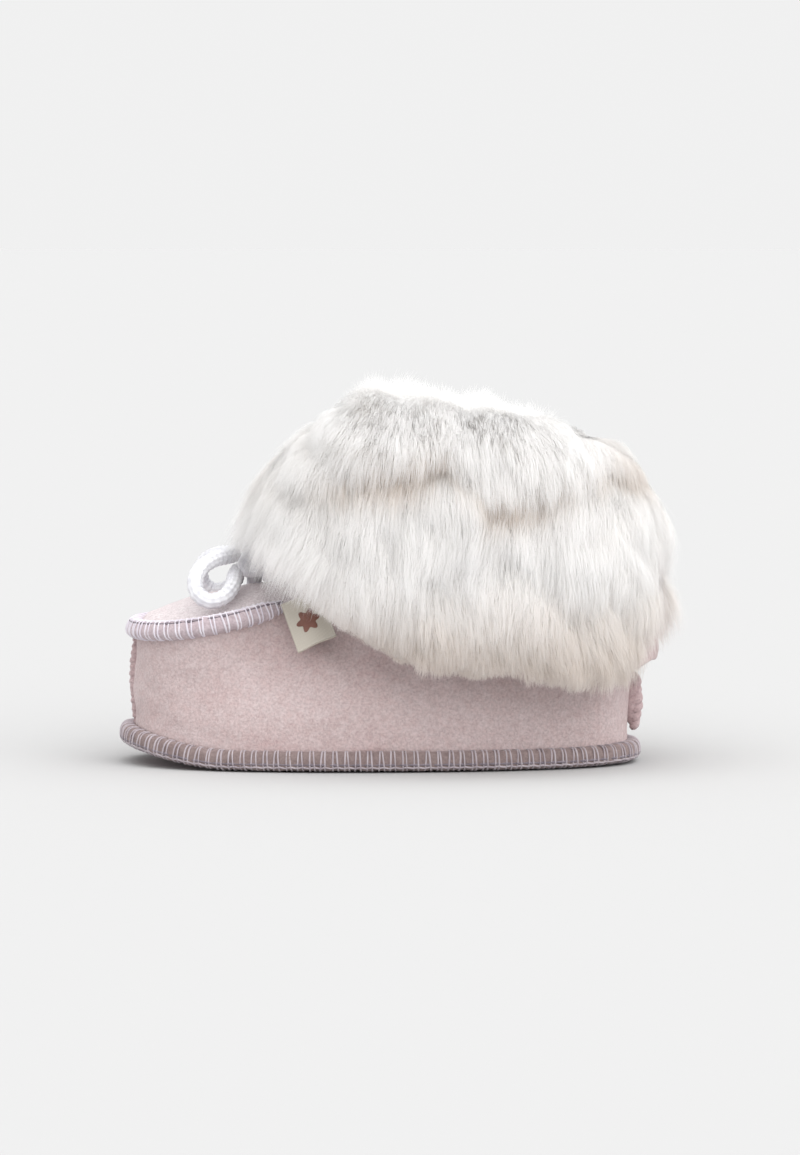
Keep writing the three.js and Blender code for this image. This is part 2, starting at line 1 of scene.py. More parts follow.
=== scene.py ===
# %% [markdown]
# # A baby bootie in suede and long wool
# The real bootie is cut from sheepskin: suede on one side, wool on the other. It is sewn like a
# moccasin, with every seam overlocked so that it stands up as a ribbed welt. The CAD frame holds
# each piece at its true size, and this lesson gives every piece its surface, from the sole up.

# %% Load the frame
import json
import math

import bmesh
import bpy
import numpy as np
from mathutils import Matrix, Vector
from mathutils.kdtree import KDTree


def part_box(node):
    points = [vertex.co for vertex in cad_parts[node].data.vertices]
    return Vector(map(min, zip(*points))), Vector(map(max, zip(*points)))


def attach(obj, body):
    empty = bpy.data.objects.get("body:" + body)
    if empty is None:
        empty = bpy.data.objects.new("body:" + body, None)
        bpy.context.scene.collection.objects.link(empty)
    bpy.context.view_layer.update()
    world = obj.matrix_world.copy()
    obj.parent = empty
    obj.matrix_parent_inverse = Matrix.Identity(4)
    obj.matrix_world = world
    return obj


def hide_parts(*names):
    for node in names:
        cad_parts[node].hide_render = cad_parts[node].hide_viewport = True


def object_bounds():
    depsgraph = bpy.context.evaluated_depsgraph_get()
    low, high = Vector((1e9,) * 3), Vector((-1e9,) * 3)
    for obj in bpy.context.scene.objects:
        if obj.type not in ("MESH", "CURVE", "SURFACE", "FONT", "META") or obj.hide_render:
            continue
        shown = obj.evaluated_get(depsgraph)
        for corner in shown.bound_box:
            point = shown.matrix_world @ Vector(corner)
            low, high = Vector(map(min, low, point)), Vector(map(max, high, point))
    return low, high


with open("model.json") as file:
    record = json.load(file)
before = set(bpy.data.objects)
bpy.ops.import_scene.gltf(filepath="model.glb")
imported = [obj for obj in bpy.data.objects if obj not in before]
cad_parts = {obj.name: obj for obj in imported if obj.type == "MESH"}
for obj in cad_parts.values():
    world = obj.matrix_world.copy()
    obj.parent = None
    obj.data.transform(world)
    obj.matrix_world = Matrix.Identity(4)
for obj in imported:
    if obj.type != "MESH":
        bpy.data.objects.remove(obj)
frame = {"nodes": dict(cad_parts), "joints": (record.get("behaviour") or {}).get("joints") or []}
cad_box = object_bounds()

MM = 0.001
low, high = cad_box
length, width, height = high - low
print("bootie, mm:", [round(side / MM, 1) for side in (length, width, height)])


def cad_box_of(node):
    """Lowest corner, highest corner and middle of a CAD node, as arrays."""
    corners = [np.array(corner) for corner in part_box(node)]
    return corners[0], corners[1], (corners[0] + corners[1]) / 2


def placed(name, data):
    """A new object that holds the data, put in the scene."""
    made = bpy.data.objects.new(name, data)
    bpy.context.scene.collection.objects.link(made)
    return made


# %% [markdown]
# ## Camera
# A shoe is usually shown in profile, from a little above the floor, with a long lens so that the
# toe and the heel keep their true sizes. The camera is placed from the bootie's own box: it aims
# at the middle and takes in a field that is a fixed number of bootie lengths wide.

# %% Camera
CAMERA_DISTANCE = 1.2
CAMERA_ELEVATION = math.radians(4)
FIELD_IN_LENGTHS = 1.438
FRAME_RATIO = 1155 / 800
SENSOR = 36
AIM_FROM_MIDDLE = Vector((0.4, 0, -0.9)) * MM

aim = (low + high) / 2 + AIM_FROM_MIDDLE
back = Vector((0, -math.cos(CAMERA_ELEVATION), math.sin(CAMERA_ELEVATION)))
camera_data = bpy.data.cameras.new("camera")
camera_data.sensor_width = SENSOR
camera_data.lens = SENSOR * CAMERA_DISTANCE / (FIELD_IN_LENGTHS * length * FRAME_RATIO)
camera = placed("camera", camera_data)
camera.location = aim + back * CAMERA_DISTANCE
camera.rotation_euler = (-back).to_track_quat("-Z", "Y").to_euler()
bpy.context.scene.camera = camera
print("lens, mm:", round(camera_data.lens))

# %% [markdown]
# ## Helpers for meshes and materials
# Most pieces here are grown from numbers: a list of points and faces becomes an object that rides
# on a CAD body and stands for one or more CAD nodes. Materials are node trees, so one small
# helper adds a node, sets it up and links it, and one function turns sRGB hex into linear colour.

# %% Mesh helpers
def add_values(mesh, **values):
    """Stores a number per point under each name."""
    for name, numbers in values.items():
        layer = mesh.attributes.new(name, "FLOAT", "POINT")
        numbers = np.broadcast_to(np.asarray(numbers, dtype=np.float32), len(mesh.vertices))
        layer.data.foreach_set("value", np.ascontiguousarray(numbers))


def mesh_from(name, points, *face_sets, **values):
    """A mesh from an array of points, arrays of faces of equal sides, and a number per point."""
    mesh = bpy.data.meshes.new(name)
    mesh.vertices.add(len(points))
    mesh.vertices.foreach_set("co", np.asarray(points, dtype=np.float32).ravel())
    mesh.loops.add(sum(faces.size for faces in face_sets))
    corners = np.concatenate([faces.ravel() for faces in face_sets])
    mesh.loops.foreach_set("vertex_index", corners.astype(np.int32))
    sides = np.concatenate([np.full(len(faces), faces.shape[1]) for faces in face_sets])
    mesh.polygons.add(len(sides))
    starts = np.concatenate([[0], np.cumsum(sides)[:-1]])
    mesh.polygons.foreach_set("loop_start", starts.astype(np.int32))
    mesh.update(calc_edges=True)
    add_values(mesh, **values)
    return mesh


def add_piece(name, mesh, material, body="bootie", stands_for=()):
    """An object that shows the mesh, rides on a body and hides the CAD nodes it stands for."""
    mesh.polygons.foreach_set("use_smooth", [True] * len(mesh.polygons))
    mesh.materials.clear()
    mesh.materials.append(material)
    piece = placed(name, mesh)
    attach(piece, body)
    if stands_for:
        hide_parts(*stands_for)
    return piece


def read_points(mesh):
    points = np.empty(len(mesh.vertices) * 3)
    mesh.vertices.foreach_get("co", points)
    return points.reshape(-1, 3)


def read_normals(mesh):
    normals = np.empty(len(mesh.vertices) * 3)
    mesh.vertices.foreach_get("normal", normals)
    return normals.reshape(-1, 3)


def write_points(mesh, points):
    mesh.vertices.foreach_set("co", np.asarray(points, dtype=np.float32).ravel())
    mesh.update()


def unit(vectors):
    lengths = np.linalg.norm(vectors, axis=-1, keepdims=True)
    return vectors / np.maximum(lengths, 1e-12)


def smoothstep(value, start, end):
    share = np.clip((value - start) / (end - start), 0, 1)
    return share * share * (3 - 2 * share)


def rolling(points, size, seed, waves=14):
    """Soft random unevenness, about -1 to 1, with swells of the given size in metres."""
    random = np.random.default_rng(seed)
    total = np.zeros(len(points))
    for direction in unit(random.normal(size=(waves, 3))):
        pitch = size * random.uniform(0.7, 1.5)
        total += np.sin(points @ direction * 2 * math.pi / pitch + random.uniform(0, 2 * math.pi))
    return total / math.sqrt(waves / 2) / 1.6


# %% Material helpers
def from_hex(text):
    """sRGB hex to the linear colour that the shaders work in."""
    channels = [int(text[i:i + 2], 16) / 255 for i in (1, 3, 5)]
    return tuple(c / 12.92 if c <= 0.04045 else ((c + 0.055) / 1.055) ** 2.4 for c in channels) + (1,)


def new_material(name):
    material = bpy.data.materials.new(name)
    material.use_nodes = True
    return material, material.node_tree.nodes["Principled BSDF"]


def add_node(material, kind, inputs=None, **settings):
    """Adds a node, applies its settings, and fills or links its inputs."""
    made = material.node_tree.nodes.new(kind)
    for name, value in settings.items():
        setattr(made, name, value)
    for socket, value in (inputs or {}).items():
        if isinstance(value, bpy.types.NodeSocket):
            material.node_tree.links.new(value, made.inputs[socket])
        else:
            made.inputs[socket].default_value = value
    return made


def set_inputs(material, shader, **values):
    """Sets or links sockets of a shader, written with _ for each space."""
    for name, value in values.items():
        socket = shader.inputs[name.replace("_", " ")]
        if isinstance(value, bpy.types.NodeSocket):
            material.node_tree.links.new(value, socket)
        else:
            socket.default_value = value


def ramp(material, value, stops):
    """A colour ramp from a list of (place, hex colour)."""
    made = add_node(material, "ShaderNodeValToRGB", {"Fac": value})
    colours = made.color_ramp.elements
    while len(colours) < len(stops):
        colours.new(0.5)
    for element, (place, colour) in zip(colours, stops):
        element.position = place
        element.color = from_hex(colour)
    return made.outputs["Color"]


def noise(material, place, size_mm, detail, **more):
    """Noise whose features are this many millimetres wide."""
    inputs = {"Vector": place, "Scale": 1 / (size_mm * MM), "Detail": detail, **more}
    return add_node(material, "ShaderNodeTexNoise", inputs).outputs["Fac"]


def bumped(material, height, depth, strength=0.8):
    """The surface's direction, disturbed by heights of up to depth metres."""
    inputs = {"Height": height, "Distance": depth, "Strength": strength}
    return add_node(material, "ShaderNodeBump", inputs).outputs["Normal"]


# %% [markdown]
# ## Suede
# Suede is the flesh side of the skin, sanded to a short nap. The nap scatters light, so suede has
# no shine and a soft sheen at grazing angles, and dye takes unevenly, so it is blotched rosier in
# places. Three noises do this: blotches of about a centimetre, a mottle of a few millimetres and
# the grain of the nap, under half a millimetre, which also drives the bump.

# %% Suede materials
BLOTCH_MM = 22
MOTTLE_MM = 1.5
NAP_MM = 0.6
NAP_SHADE = "#8E8182"
SHEEN_TINT = "#F4E6E6"


def suede(name, main, rosy, pale, nap_depth=0.16 * MM):
    material, shader = new_material(name)
    place = add_node(material, "ShaderNodeTexCoord").outputs["Object"]
    blotch = noise(material, place, BLOTCH_MM, 3, Roughness=0.55)
    mottle = noise(material, place, MOTTLE_MM, 4, Roughness=0.6, Distortion=0.5)
    nap = noise(material, place, NAP_MM, 4, Roughness=0.75)
    dyed = ramp(material, blotch, [(0.3, rosy), (0.5, main), (0.72, pale)])
    speckled = ramp(material, mottle, [(0.35, rosy), (0.62, pale)])
    mottled = add_node(material, "ShaderNodeMixRGB", {"Fac": 0.45, "Color1": dyed, "Color2": speckled})
    brushed = ramp(material, nap, [(0.32, NAP_SHADE), (0.62, "#FFFFFF")])
    napped = add_node(material, "ShaderNodeMixRGB",
                      {"Fac": 0.42, "Color1": mottled.outputs["Color"], "Color2": brushed},
                      blend_type="MULTIPLY")
    raised = add_node(material, "ShaderNodeMath", {0: nap, 1: mottle}, operation="ADD").outputs["Value"]
    set_inputs(material, shader, Base_Color=napped.outputs["Color"], Roughness=0.92, IOR=1.45,
               Sheen_Weight=0.35, Sheen_Roughness=0.5, Sheen_Tint=from_hex(SHEEN_TINT),
               Normal=bumped(material, raised, nap_depth, 0.9))
    return material


wall_suede = suede("wall_suede_napped_pink", "#CBB9B8", "#C4ABAA", "#D1C2C2")
apron_suede = suede("apron_suede_napped_pale", "#E4DBDC", "#DCD0D2", "#EAE4E5")
sole_suede = suede("sole_suede_buffed_mauve", "#A58890", "#967780", "#B49CA2", 0.08 * MM)
print("suedes:", wall_suede.name, apron_suede.name, sole_suede.name)

# %% [markdown]
# ## Thread, cord and tape
# The seams are overlocked with soft spun yarn, the lace is a satin braid and the tag is woven
# tape. All three are polyester or viscose, with an IOR near 1.5. Spun yarn is matt, the braid
# catches a soft highlight, and the tape shows its warp and weft. The hide's raw edge and the
# felted wool show between the stitches. The dark grey of the looper thread there is painted
# shade, and so is the darker colour of the sole seam's yarn and edge, low by the floor.

# %% Thread, cord and tape materials
def yarn(name, pale, deep, roughness, sheen, fibre_mm=0.5, depth=0.05 * MM):
    material, shader = new_material(name)
    place = add_node(material, "ShaderNodeTexCoord").outputs["Object"]
    tone = noise(material, place, 3, 3)
    fibre = noise(material, place, fibre_mm, 4, Roughness=0.7)
    set_inputs(material, shader, Base_Color=ramp(material, tone, [(0.3, deep), (0.65, pale)]),
               Roughness=roughness, IOR=1.5, Sheen_Weight=sheen, Normal=bumped(material, fibre, depth))
    return material


seam_yarn = yarn("seam_yarn_spun_lilac", "#E4DFE6", "#D2CAD5", 0.75, 0.3)
# Painted shade: the sole seam's yarn is a darker, greyer copy of the seam yarn, for its place low by the floor.
sole_yarn_painted_shade = yarn("sole_seam_yarn_lilac_painted_shade", "#B9AFB4", "#A3979E", 0.75, 0.3)
# The looper thread is real; its dark grey is painted shade in the gaps between the stitches.
shaded_yarn = yarn("looper_yarn_grey_painted_shade", "#837A82", "#6A6169", 0.85, 0.1)
welt_edge = suede("welt_edge_suede_lilac", "#C3B4B9", "#B8A6AC", "#CCBFC4", 0.1 * MM)
# The sole seam's edge is mauve like the sole hide, and darker still as painted shade low by the floor.
sole_edge_painted_shade = suede("sole_edge_suede_mauve_painted_shade", "#8B7B78", "#7E6C6B", "#978684", 0.1 * MM)
rope_edge = suede("rope_edge_suede_rose", "#BFA8A9", "#B39899", "#C8B4B5", 0.1 * MM)
lace_satin = yarn("lace_braided_satin_white", "#ECECEF", "#DDDDE3", 0.4, 0.2, 0.3, 0.04 * MM)
motif_yarn = yarn("motif_yarn_brown", "#84584B", "#6B4237", 0.6, 0.2)


def woven_tape(name, warp_colour, weft_colour, pitch_mm=0.45):
    material, shader = new_material(name)
    place = add_node(material, "ShaderNodeTexCoord").outputs["UV"]
    bands = {"Vector": place, "Scale": 0.5 / pitch_mm, "Distortion": 0.6}
    threads = [add_node(material, "ShaderNodeTexWave", bands, wave_type="BANDS",
                        bands_direction=direction).outputs["Fac"] for direction in ("X", "Y")]
    weave = add_node(material, "ShaderNodeMath", {0: threads[0], 1: threads[1]}, operation="MULTIPLY")
    woven = weave.outputs["Value"]
    set_inputs(material, shader, Base_Color=ramp(material, woven, [(0.0, weft_colour), (0.5, warp_colour)]),
               Roughness=0.7, IOR=1.5, Sheen_Weight=0.2, Normal=bumped(material, woven, 0.12 * MM))
    return material


tag_tape = woven_tape("tag_tape_woven_cream", "#DDD7CC", "#C4BCAE")
print("threads:", seam_yarn.name, lace_satin.name, tag_tape.name)

# %% [markdown]
# ## Wool
# Washed sheep's wool is nearly white at the tips and warmer near the skin, where lanolin and shade
# gather. Keratin fibres have an IOR of 1.55, and a white one passes much of its light on, which
# is why fleece glows. Each lock carries a value from 0 at its root to 1 at its tip, so that the
# colour follows the hair and not the space around it. A second value, in_crease, mixes in a beige
# that is painted shade on the cuff, in its creases and low down. The linings take a small fixed
# share of it as their tone.

# %% Wool material
LIGHT_PASSED = 0.6  # share of the light that goes on through a white fibre
# Painted shade: the beige that wool takes in the cuff's creases and low on the cuff.
PAINTED_SHADE_BEIGE = "#D8C8B8"


def wool(name, root, middle, tip):
    material, shader = new_material(name)
    along = add_node(material, "ShaderNodeAttribute", attribute_name="along_hair").outputs["Fac"]
    shaded = add_node(material, "ShaderNodeAttribute", attribute_name="in_crease").outputs["Fac"]
    clean = ramp(material, along, [(0.0, root), (0.4, middle), (1.0, tip)])
    # The in_crease value mixes in beige: painted shade on the cuff, a small fixed tone on the linings.
    with_shade_and_pile_tone = add_node(material, "ShaderNodeMixRGB",
                    {"Fac": shaded, "Color1": clean, "Color2": from_hex(PAINTED_SHADE_BEIGE)})
    set_inputs(material, shader, Base_Color=with_shade_and_pile_tone.outputs["Color"],
               Roughness=0.75, IOR=1.55, Sheen_Weight=0.3, Sheen_Roughness=0.4)
    passed_on = add_node(material, "ShaderNodeBsdfTranslucent", {"Color": with_shade_and_pile_tone.outputs["Color"]})
    fleece = add_node(material, "ShaderNodeMixShader",
                      {0: LIGHT_PASSED, 1: shader.outputs[0], 2: passed_on.outputs[0]})
    shown = material.node_tree.nodes["Material Output"].inputs["Surface"]
    material.node_tree.links.new(fleece.outputs[0], shown)
    return material


long_wool = wool("wool_long_combed", "#FCFAF8", "#FEFDFC", "#FFFFFF")
lining_wool = wool("wool_lining_felted", "#EFE8E0", "#F7F3EF", "#FDFBF9")

# %% [markdown]
# ## Seam routes
# Every welt is a roll that follows a line on the foot. The sole line is a rounded oval, squared
# off a little at its ends, that lifts at the toe and the heel, and the apron line is a horseshoe
# that climbs towards the ankle. Their sizes come from the CAD pieces, with the same curves.

# %% Seam routes
def squared(value, power):
    return np.sign(value) * np.abs(value) ** power


sole_low, sole_high, sole_middle = cad_box_of("sole_welt")
ROUTE_STEP = 0.5 * MM
WELT_RADIUS = 2.3 * MM
SOLE_HALF_WIDTH = 31 * MM
HEEL_SHARE = 55 / 62
TOE_SPRING = 5.2 * MM
HEEL_LIFT = 0.6 * MM
WELT_REST = 0.4 * MM  # between the seam and the floor


def sole_line(run, side):
    """Middle of the sole seam, for run 0 at the toe to 1 at the heel."""
    half_length = (sole_high[0] - sole_low[0]) / 2 - WELT_RADIUS
    outside = SOLE_HALF_WIDTH * (1 + (HEEL_SHARE - 1) * smoothstep(run, 0.2, 0.9))
    x = -squared(np.cos(math.pi * run), 0.9) * half_length
    y = side * squared(np.sin(math.pi * run), 0.8) * (outside - WELT_RADIUS)
    span = 2 * (half_length + WELT_RADIUS)
    toe = np.clip((-0.29 * span - x) / (0.21 * span), 0, 1)
    heel = np.clip((x - 0.34 * span) / (0.16 * span), 0, 1)
    z = TOE_SPRING * toe ** 1.6 + HEEL_LIFT * heel ** 2 + WELT_REST + WELT_RADIUS
    return np.stack([x + sole_middle[0], y, z], axis=-1)


def even_steps(points, step, closed=False):
    """The same route with its points a fixed step apart."""
    if closed:
        points = np.vstack([points, points[:1]])
    travelled = np.concatenate([[0], np.cumsum(np.linalg.norm(np.diff(points, axis=0), axis=1))])
    count = max(3, round(travelled[-1] / step))
    wanted = np.linspace(0, travelled[-1], count + 1)
    even = np.stack([np.interp(wanted, travelled, points[:, axis]) for axis in range(3)], axis=-1)
    return even[:-1] if closed else even


runs = np.linspace(0, 1, 400)
sole_route = even_steps(np.vstack([sole_line(runs, -1), sole_line(runs[::-1], 1)[1:-1]]), ROUTE_STEP, True)

APRON_TIP = cad_box_of("apron_welt")[0][0] + WELT_RADIUS
APRON_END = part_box("apron_hide")[1][0] - 0.25 * MM
TOE_SEAM_HEIGHT = 32.3 * MM
THROAT_SEAM_HEIGHT = 39.8 * MM
APRON_WIDTH = 42 * MM
THROAT_WIDTH = 31 * MM
APRON_SEAM_END = 0.9


def apron_line(run, side):
    """Middle of the apron seam, for run 0 at the tip of the toe to 1 at the ankle."""
    turn = math.pi * np.minimum(run, 0.5)
    along = np.where(run < 0.5, (1 - np.cos(turn)) / 2, run)
    half = (APRON_WIDTH + (THROAT_WIDTH - APRON_WIDTH) * smoothstep(run, 0.5, 1)) / 2
    x = APRON_TIP + (APRON_END - APRON_TIP) * along
    z = TOE_SEAM_HEIGHT + (THROAT_SEAM_HEIGHT - TOE_SEAM_HEIGHT) * along ** 1.8
    return np.stack([x, side * half * squared(np.sin(turn), 0.8), z], axis=-1)


seam_runs = np.linspace(0, APRON_SEAM_END, 200)
horseshoe = np.vstack([apron_line(seam_runs[::-1], -1), apron_line(seam_runs, 1)[1:]])
apron_route = even_steps(horseshoe, ROUTE_STEP)
print("seams, mm:", [round(len(route) * ROUTE_STEP / MM) for route in (sole_route, apron_route)])

# %% [markdown]
# ## A tube along a route
# Yarn, lace and rolls are all tubes. A tube needs two directions across its route at each step.
# A roll has a natural outward side, so its directions are given; a lace has none, so they are
# carried from step to step without twisting. A little roundness closes each end.

# %% Tubes
def ways_across(route, outward=None):
    """Forward, side and upward directions at each step of a route."""
    forward = unit(np.gradient(route, axis=0))
    if outward is None:
        outward = np.empty_like(route)
        start = np.array([0.0, 0.0, 1.0]) if abs(forward[0][2]) < 0.9 else np.array([0.0, 1.0, 0.0])
        for step, ahead in enumerate(forward):
            start = start - ahead * (start @ ahead)
            start = start / np.linalg.norm(start)
            outward[step] = start
    side = unit(outward - forward * np.sum(outward * forward, axis=1, keepdims=True))
    return forward, side, np.cross(forward, side)


def tube_points(route, radii, sides, side, up):
    angles = np.linspace(0, 2 * math.pi, sides, endpoint=False)
    radii = np.broadcast_to(radii, (len(route), sides))
    across = np.cos(angles)[None, :, None] * side[:, None] + np.sin(angles)[None, :, None] * up[:, None]
    return route[:, None] + across * radii[..., None]


def tube_faces(steps, sides, closed=False):
    """Quads round a tube, and triangles that fan its two ends from their middles."""
    ring = np.arange(sides)
    following = (ring + 1) % sides
    rows = np.arange(steps if closed else steps - 1)[:, None]
    ahead = (rows + 1) % steps
    quads = np.stack([rows * sides + ring, rows * sides + following,
                      ahead * sides + following, ahead * sides + ring], axis=-1).reshape(-1, 4)
    if closed:
        return quads, None
    first, last = steps * sides, steps * sides + 1
    end = (steps - 1) * sides
    fans = np.vstack([np.stack([following, ring, np.full(sides, first)], axis=-1),
                      np.stack([end + ring, end + following, np.full(sides, last)], axis=-1)])
    return quads, fans


def tube(name, route, radii, sides=12, outward=None, closed=False):
    """A mesh tube along a route."""
    _, side, up = ways_across(route, outward)
    points = tube_points(route, radii, sides, side, up).reshape(-1, 3)
    quads, fans = tube_faces(len(route), sides, closed)
    if closed:
        return mesh_from(name, points, quads)
    return mesh_from(name, np.vstack([points, route[:1], route[-1:]]), quads, fans)


def rounded_ends(route, radius):
    """A radius at each step that closes both ends of an open tube in a dome."""
    travelled = np.concatenate([[0], np.cumsum(np.linalg.norm(np.diff(route, axis=0), axis=1))])
    from_end = np.minimum(travelled, travelled[-1] - travelled)
    inside = np.clip(1 - from_end / radius, 0, 1)
    return radius * np.sqrt(np.maximum(1 - inside ** 2, 0.02))


print("tube of 10 steps and 8 sides:", len(tube_faces(10, 8)[0]), "quads")

# %% [markdown]
# ## The lace
# The lace is a round braid of satin yarn, tied in a bow over the toe side of the ankle. A braid
# shows as small diamonds, where yarns of two hands cross. The tube's radius rises and falls with
# two crossing waves, so the diamonds are real geometry. Loops and ends are free cords: their
# routes are those of the CAD, and they hang from the knot.

# %% Lace routes and braid
LACE_WIDTH = 3.6 * MM
LACE_HEIGHT = 47.8 * MM
KNOT = np.array([cad_box_of("lace_knot")[2][0], 0, LACE_HEIGHT - 0.4 * MM])


def smooth_route(points, step):
    """A centripetal Catmull-Rom curve through the points, as in the CAD, in even steps."""
    points = np.asarray(points, dtype=float)
    guarded = np.vstack([2 * points[0] - points[1], points, 2 * points[-1] - points[-2]])
    share = np.linspace(0, 1, 40, endpoint=False)[:, None]
    route = []
    for a, b, c, d in zip(guarded, guarded[1:], guarded[2:], guarded[3:]):
        before, across, after = (np.linalg.norm(q - p) ** 0.5 for p, q in ((a, b), (b, c), (c, d)))
        leaving = across * ((b - a) / before - (c - a) / (before + across) + (c - b) / across)
        arriving = across * ((c - b) / across - (d - b) / (across + after) + (d - c) / after)
        route.append(b * (2 * share ** 3 - 3 * share ** 2 + 1)
                     + leaving * (share ** 3 - 2 * share ** 2 + share)
                     + c * (3 * share ** 2 - 2 * share ** 3)
                     + arriving * (share ** 3 - share ** 2))
    return even_steps(np.vstack(route + [points[-1:]]), step)


def braid(name, route, width, yarns=5, pitch=3.4 * MM, relief=0.11, sides=40):
    """A braided tube: two crossing waves of radius, with rounded ends."""
    travelled = np.arange(len(route))[:, None] * np.linalg.norm(route[1] - route[0])
    angles = np.linspace(0, 2 * math.pi, sides, endpoint=False)[None]
    turn = 2 * math.pi * travelled / pitch
    crossing = np.cos(yarns * angles + turn) * np.cos(yarns * angles - turn)
    radii = rounded_ends(route, width / 2)[:, None] * (1 + relief * crossing)
    return tube(name, route, radii, sides)


LOOP = [[-3.5, -1.6, 2.5], [-5.6, -5.4, 2.2], [-8.6, -9.6, 1.7], [-11.4, -13.2, 0.0],
        [-12.8, -15.8, -2.8], [-12.2, -17.2, -5.8], [-9.6, -17.6, -7.6], [-6.2, -16.0, -6.9],
        [-4.2, -12.4, -4.6], [-3.8, -8.2, -2.8], [-3.5, -4.8, -1.7]]
TAILS = {
    "front": [[0.0, 4.2, -0.8], [0.5, 9.0, -2.4], [0.4, 13.6, -4.2], [0.2, 18.2, -5.4],
              [0.0, 22.0, -7.2], [-0.3, 24.8, -10.9], [-0.6, 25.2, -15.6], [-0.9, 26.4, -20.6],
              [-1.2, 28.4, -26.2], [-1.4, 30.2, -31.6]],
    "back": [[3.4, 5.6, -2.9], [4.3, 9.4, -3.2], [4.7, 13.2, -4.2], [4.7, 17.2, -5.1],
             [4.5, 20.8, -6.6], [4.2, 23.8, -10.2], [3.9, 24.4, -15.0], [3.6, 25.6, -20.2], [3.4, 27.8, -25.6]],
}


def route_length(route):
    """Length of a route in metres."""
    return float(np.sum(np.linalg.norm(np.diff(route, axis=0), axis=1)))


# %% Bow loops
BRAID_STEP = 0.25 * MM


for name, side in (("left", 1), ("right", -1)):
    route = smooth_route(KNOT + np.array(LOOP) * (1, side, 1) * MM, BRAID_STEP)
    loop = add_piece(f"bow_loop_{name}_braid", braid("bow_loop", route, LACE_WIDTH), lace_satin,
                     f"loop_{name}", [f"bow_loop_{name}"])
    print("bow loop", name, "mm:", round(route_length(route) / MM, 1))


# %% Free ends and their knots
KNOT_STRAND = 1.22 * MM
KNOT_SCALE = 0.56 * MM


def overhand_knot(name, middle, ahead):
    """A tight overhand knot: a trefoil whose flat side holds the lace's direction."""
    turns = np.linspace(0, 2 * math.pi, 200, endpoint=False)
    ring = 2 + np.cos(3 * turns)
    aside = unit(np.cross(ahead, (1.0, 0.2, 0.1)))
    above = np.cross(ahead, aside)
    route = middle + KNOT_SCALE * ((ring * np.cos(2 * turns))[:, None] * ahead
                                   + (ring * np.sin(2 * turns))[:, None] * aside
                                   + 1.25 * np.sin(3 * turns)[:, None] * above)
    ribs = KNOT_STRAND * (1 + 0.05 * np.cos(np.arange(200)[:, None] * 0.9 + np.arange(24) * 1.2))
    return tube(name, route, ribs, 24, closed=True)


for name, places in TAILS.items():
    route = smooth_route(KNOT + np.array(places) * MM, BRAID_STEP)
    ahead = unit(route[-1] - route[-5])
    knot_node = f"tail_knot_{name}"
    end_knot = add_piece(f"{knot_node}_tied", overhand_knot(knot_node, cad_box_of(knot_node)[2], ahead),
                         lace_satin, f"tail_{name}", [knot_node])
    tail = add_piece(f"lace_tail_{name}_braid", braid("lace_tail", route, LACE_WIDTH), lace_satin,
                     f"tail_{name}", [f"lace_tail_{name}"])
    print("lace end", name, "mm:", round(route_length(route) / MM, 1))

# %% [markdown]
# ## The ankle lace and the bow's knot
# The rest of the lace is held: it runs round the ankle under the cuff, and both ends come
# forward to the knot. The knot is the lace wound tightly over itself, so it is a short coil that
# is wider than it is deep.

# %% Ankle lace and knot
COLLAR_MIDDLE = 15.15 * MM
COLLAR_HALF_LENGTH = 41.5 * MM
COLLAR_HALF_WIDTH = 27.5 * MM


def collar_point(degrees, outwards, z):
    """A point round the ankle, from 0 at the front by the left side to 360."""
    angle = np.radians(degrees)
    normal = unit(np.stack([-squared(np.cos(angle), 1.2) / COLLAR_HALF_LENGTH,
                            -squared(np.sin(angle), 1.2) / COLLAR_HALF_WIDTH], axis=-1))
    x = COLLAR_MIDDLE - squared(np.cos(angle), 0.8) * COLLAR_HALF_LENGTH + normal[..., 0] * outwards
    y = -squared(np.sin(angle), 0.8) * COLLAR_HALF_WIDTH + normal[..., 1] * outwards
    return np.stack([x, y, np.broadcast_to(z, x.shape)], axis=-1)


turns = np.linspace(15, 345, 25)
reach = (1.8 + 0.39 + 2.4 * np.maximum(0, np.cos(np.radians(turns))) ** 2) * MM
joins = np.array([[3.9, -2.3, 0.8], [3.9, 2.3, 0.8]]) * MM + KNOT
around = np.vstack([joins[:1], collar_point(turns, reach, LACE_HEIGHT), joins[1:]])
ankle_braid = braid("lace_around", smooth_route(around, 0.5 * MM), LACE_WIDTH, sides=28)
add_piece("lace_around_ankle_braid", ankle_braid, lace_satin, "bootie", ["lace_around_ankle"])

WRAPS = 2.4
WRAPPED_WIDTH = 3.2 * MM
wrap = np.linspace(0, 2 * math.pi * WRAPS, 240)
coil = KNOT + np.stack([1.55 * np.cos(wrap), (wrap / wrap[-1] - 0.5) * 3.3 + 0.5 * np.sin(wrap),
                        1.65 * np.sin(wrap)], axis=-1) * MM
coil = even_steps(coil, BRAID_STEP)
add_piece("lace_knot_tied", braid("lace_knot", coil, WRAPPED_WIDTH, sides=32), lace_satin,
          "bootie", ["lace_knot"])
print("ankle lace, mm:", round(route_length(smooth_route(around, MM)) / MM))

# %% [markdown]
# ## Overlocked welts
# The edges of two hides are held together and yarn is looped over them, so every seam stands up
# as a roll with ribs. The roll is a felted core, a little uneven, and each rib is a pair of yarn
# loops that go over its outer side at a slant. Ribs are laid at the machine's own pitch.

# %% Welts
STITCH_PITCH = 2.7 * MM
YARN_RADIUS = 0.2 * MM
LOOP_POINTS = 15
LOOP_SIDES = 7
CORE_SIDES = 28
CORE_SHARE = 0.97
LOOPER_RADIUS = 0.36 * MM
EDGING_RADIUS = 0.24 * MM
EDGING_ASIDE = 17  # degrees from the looper


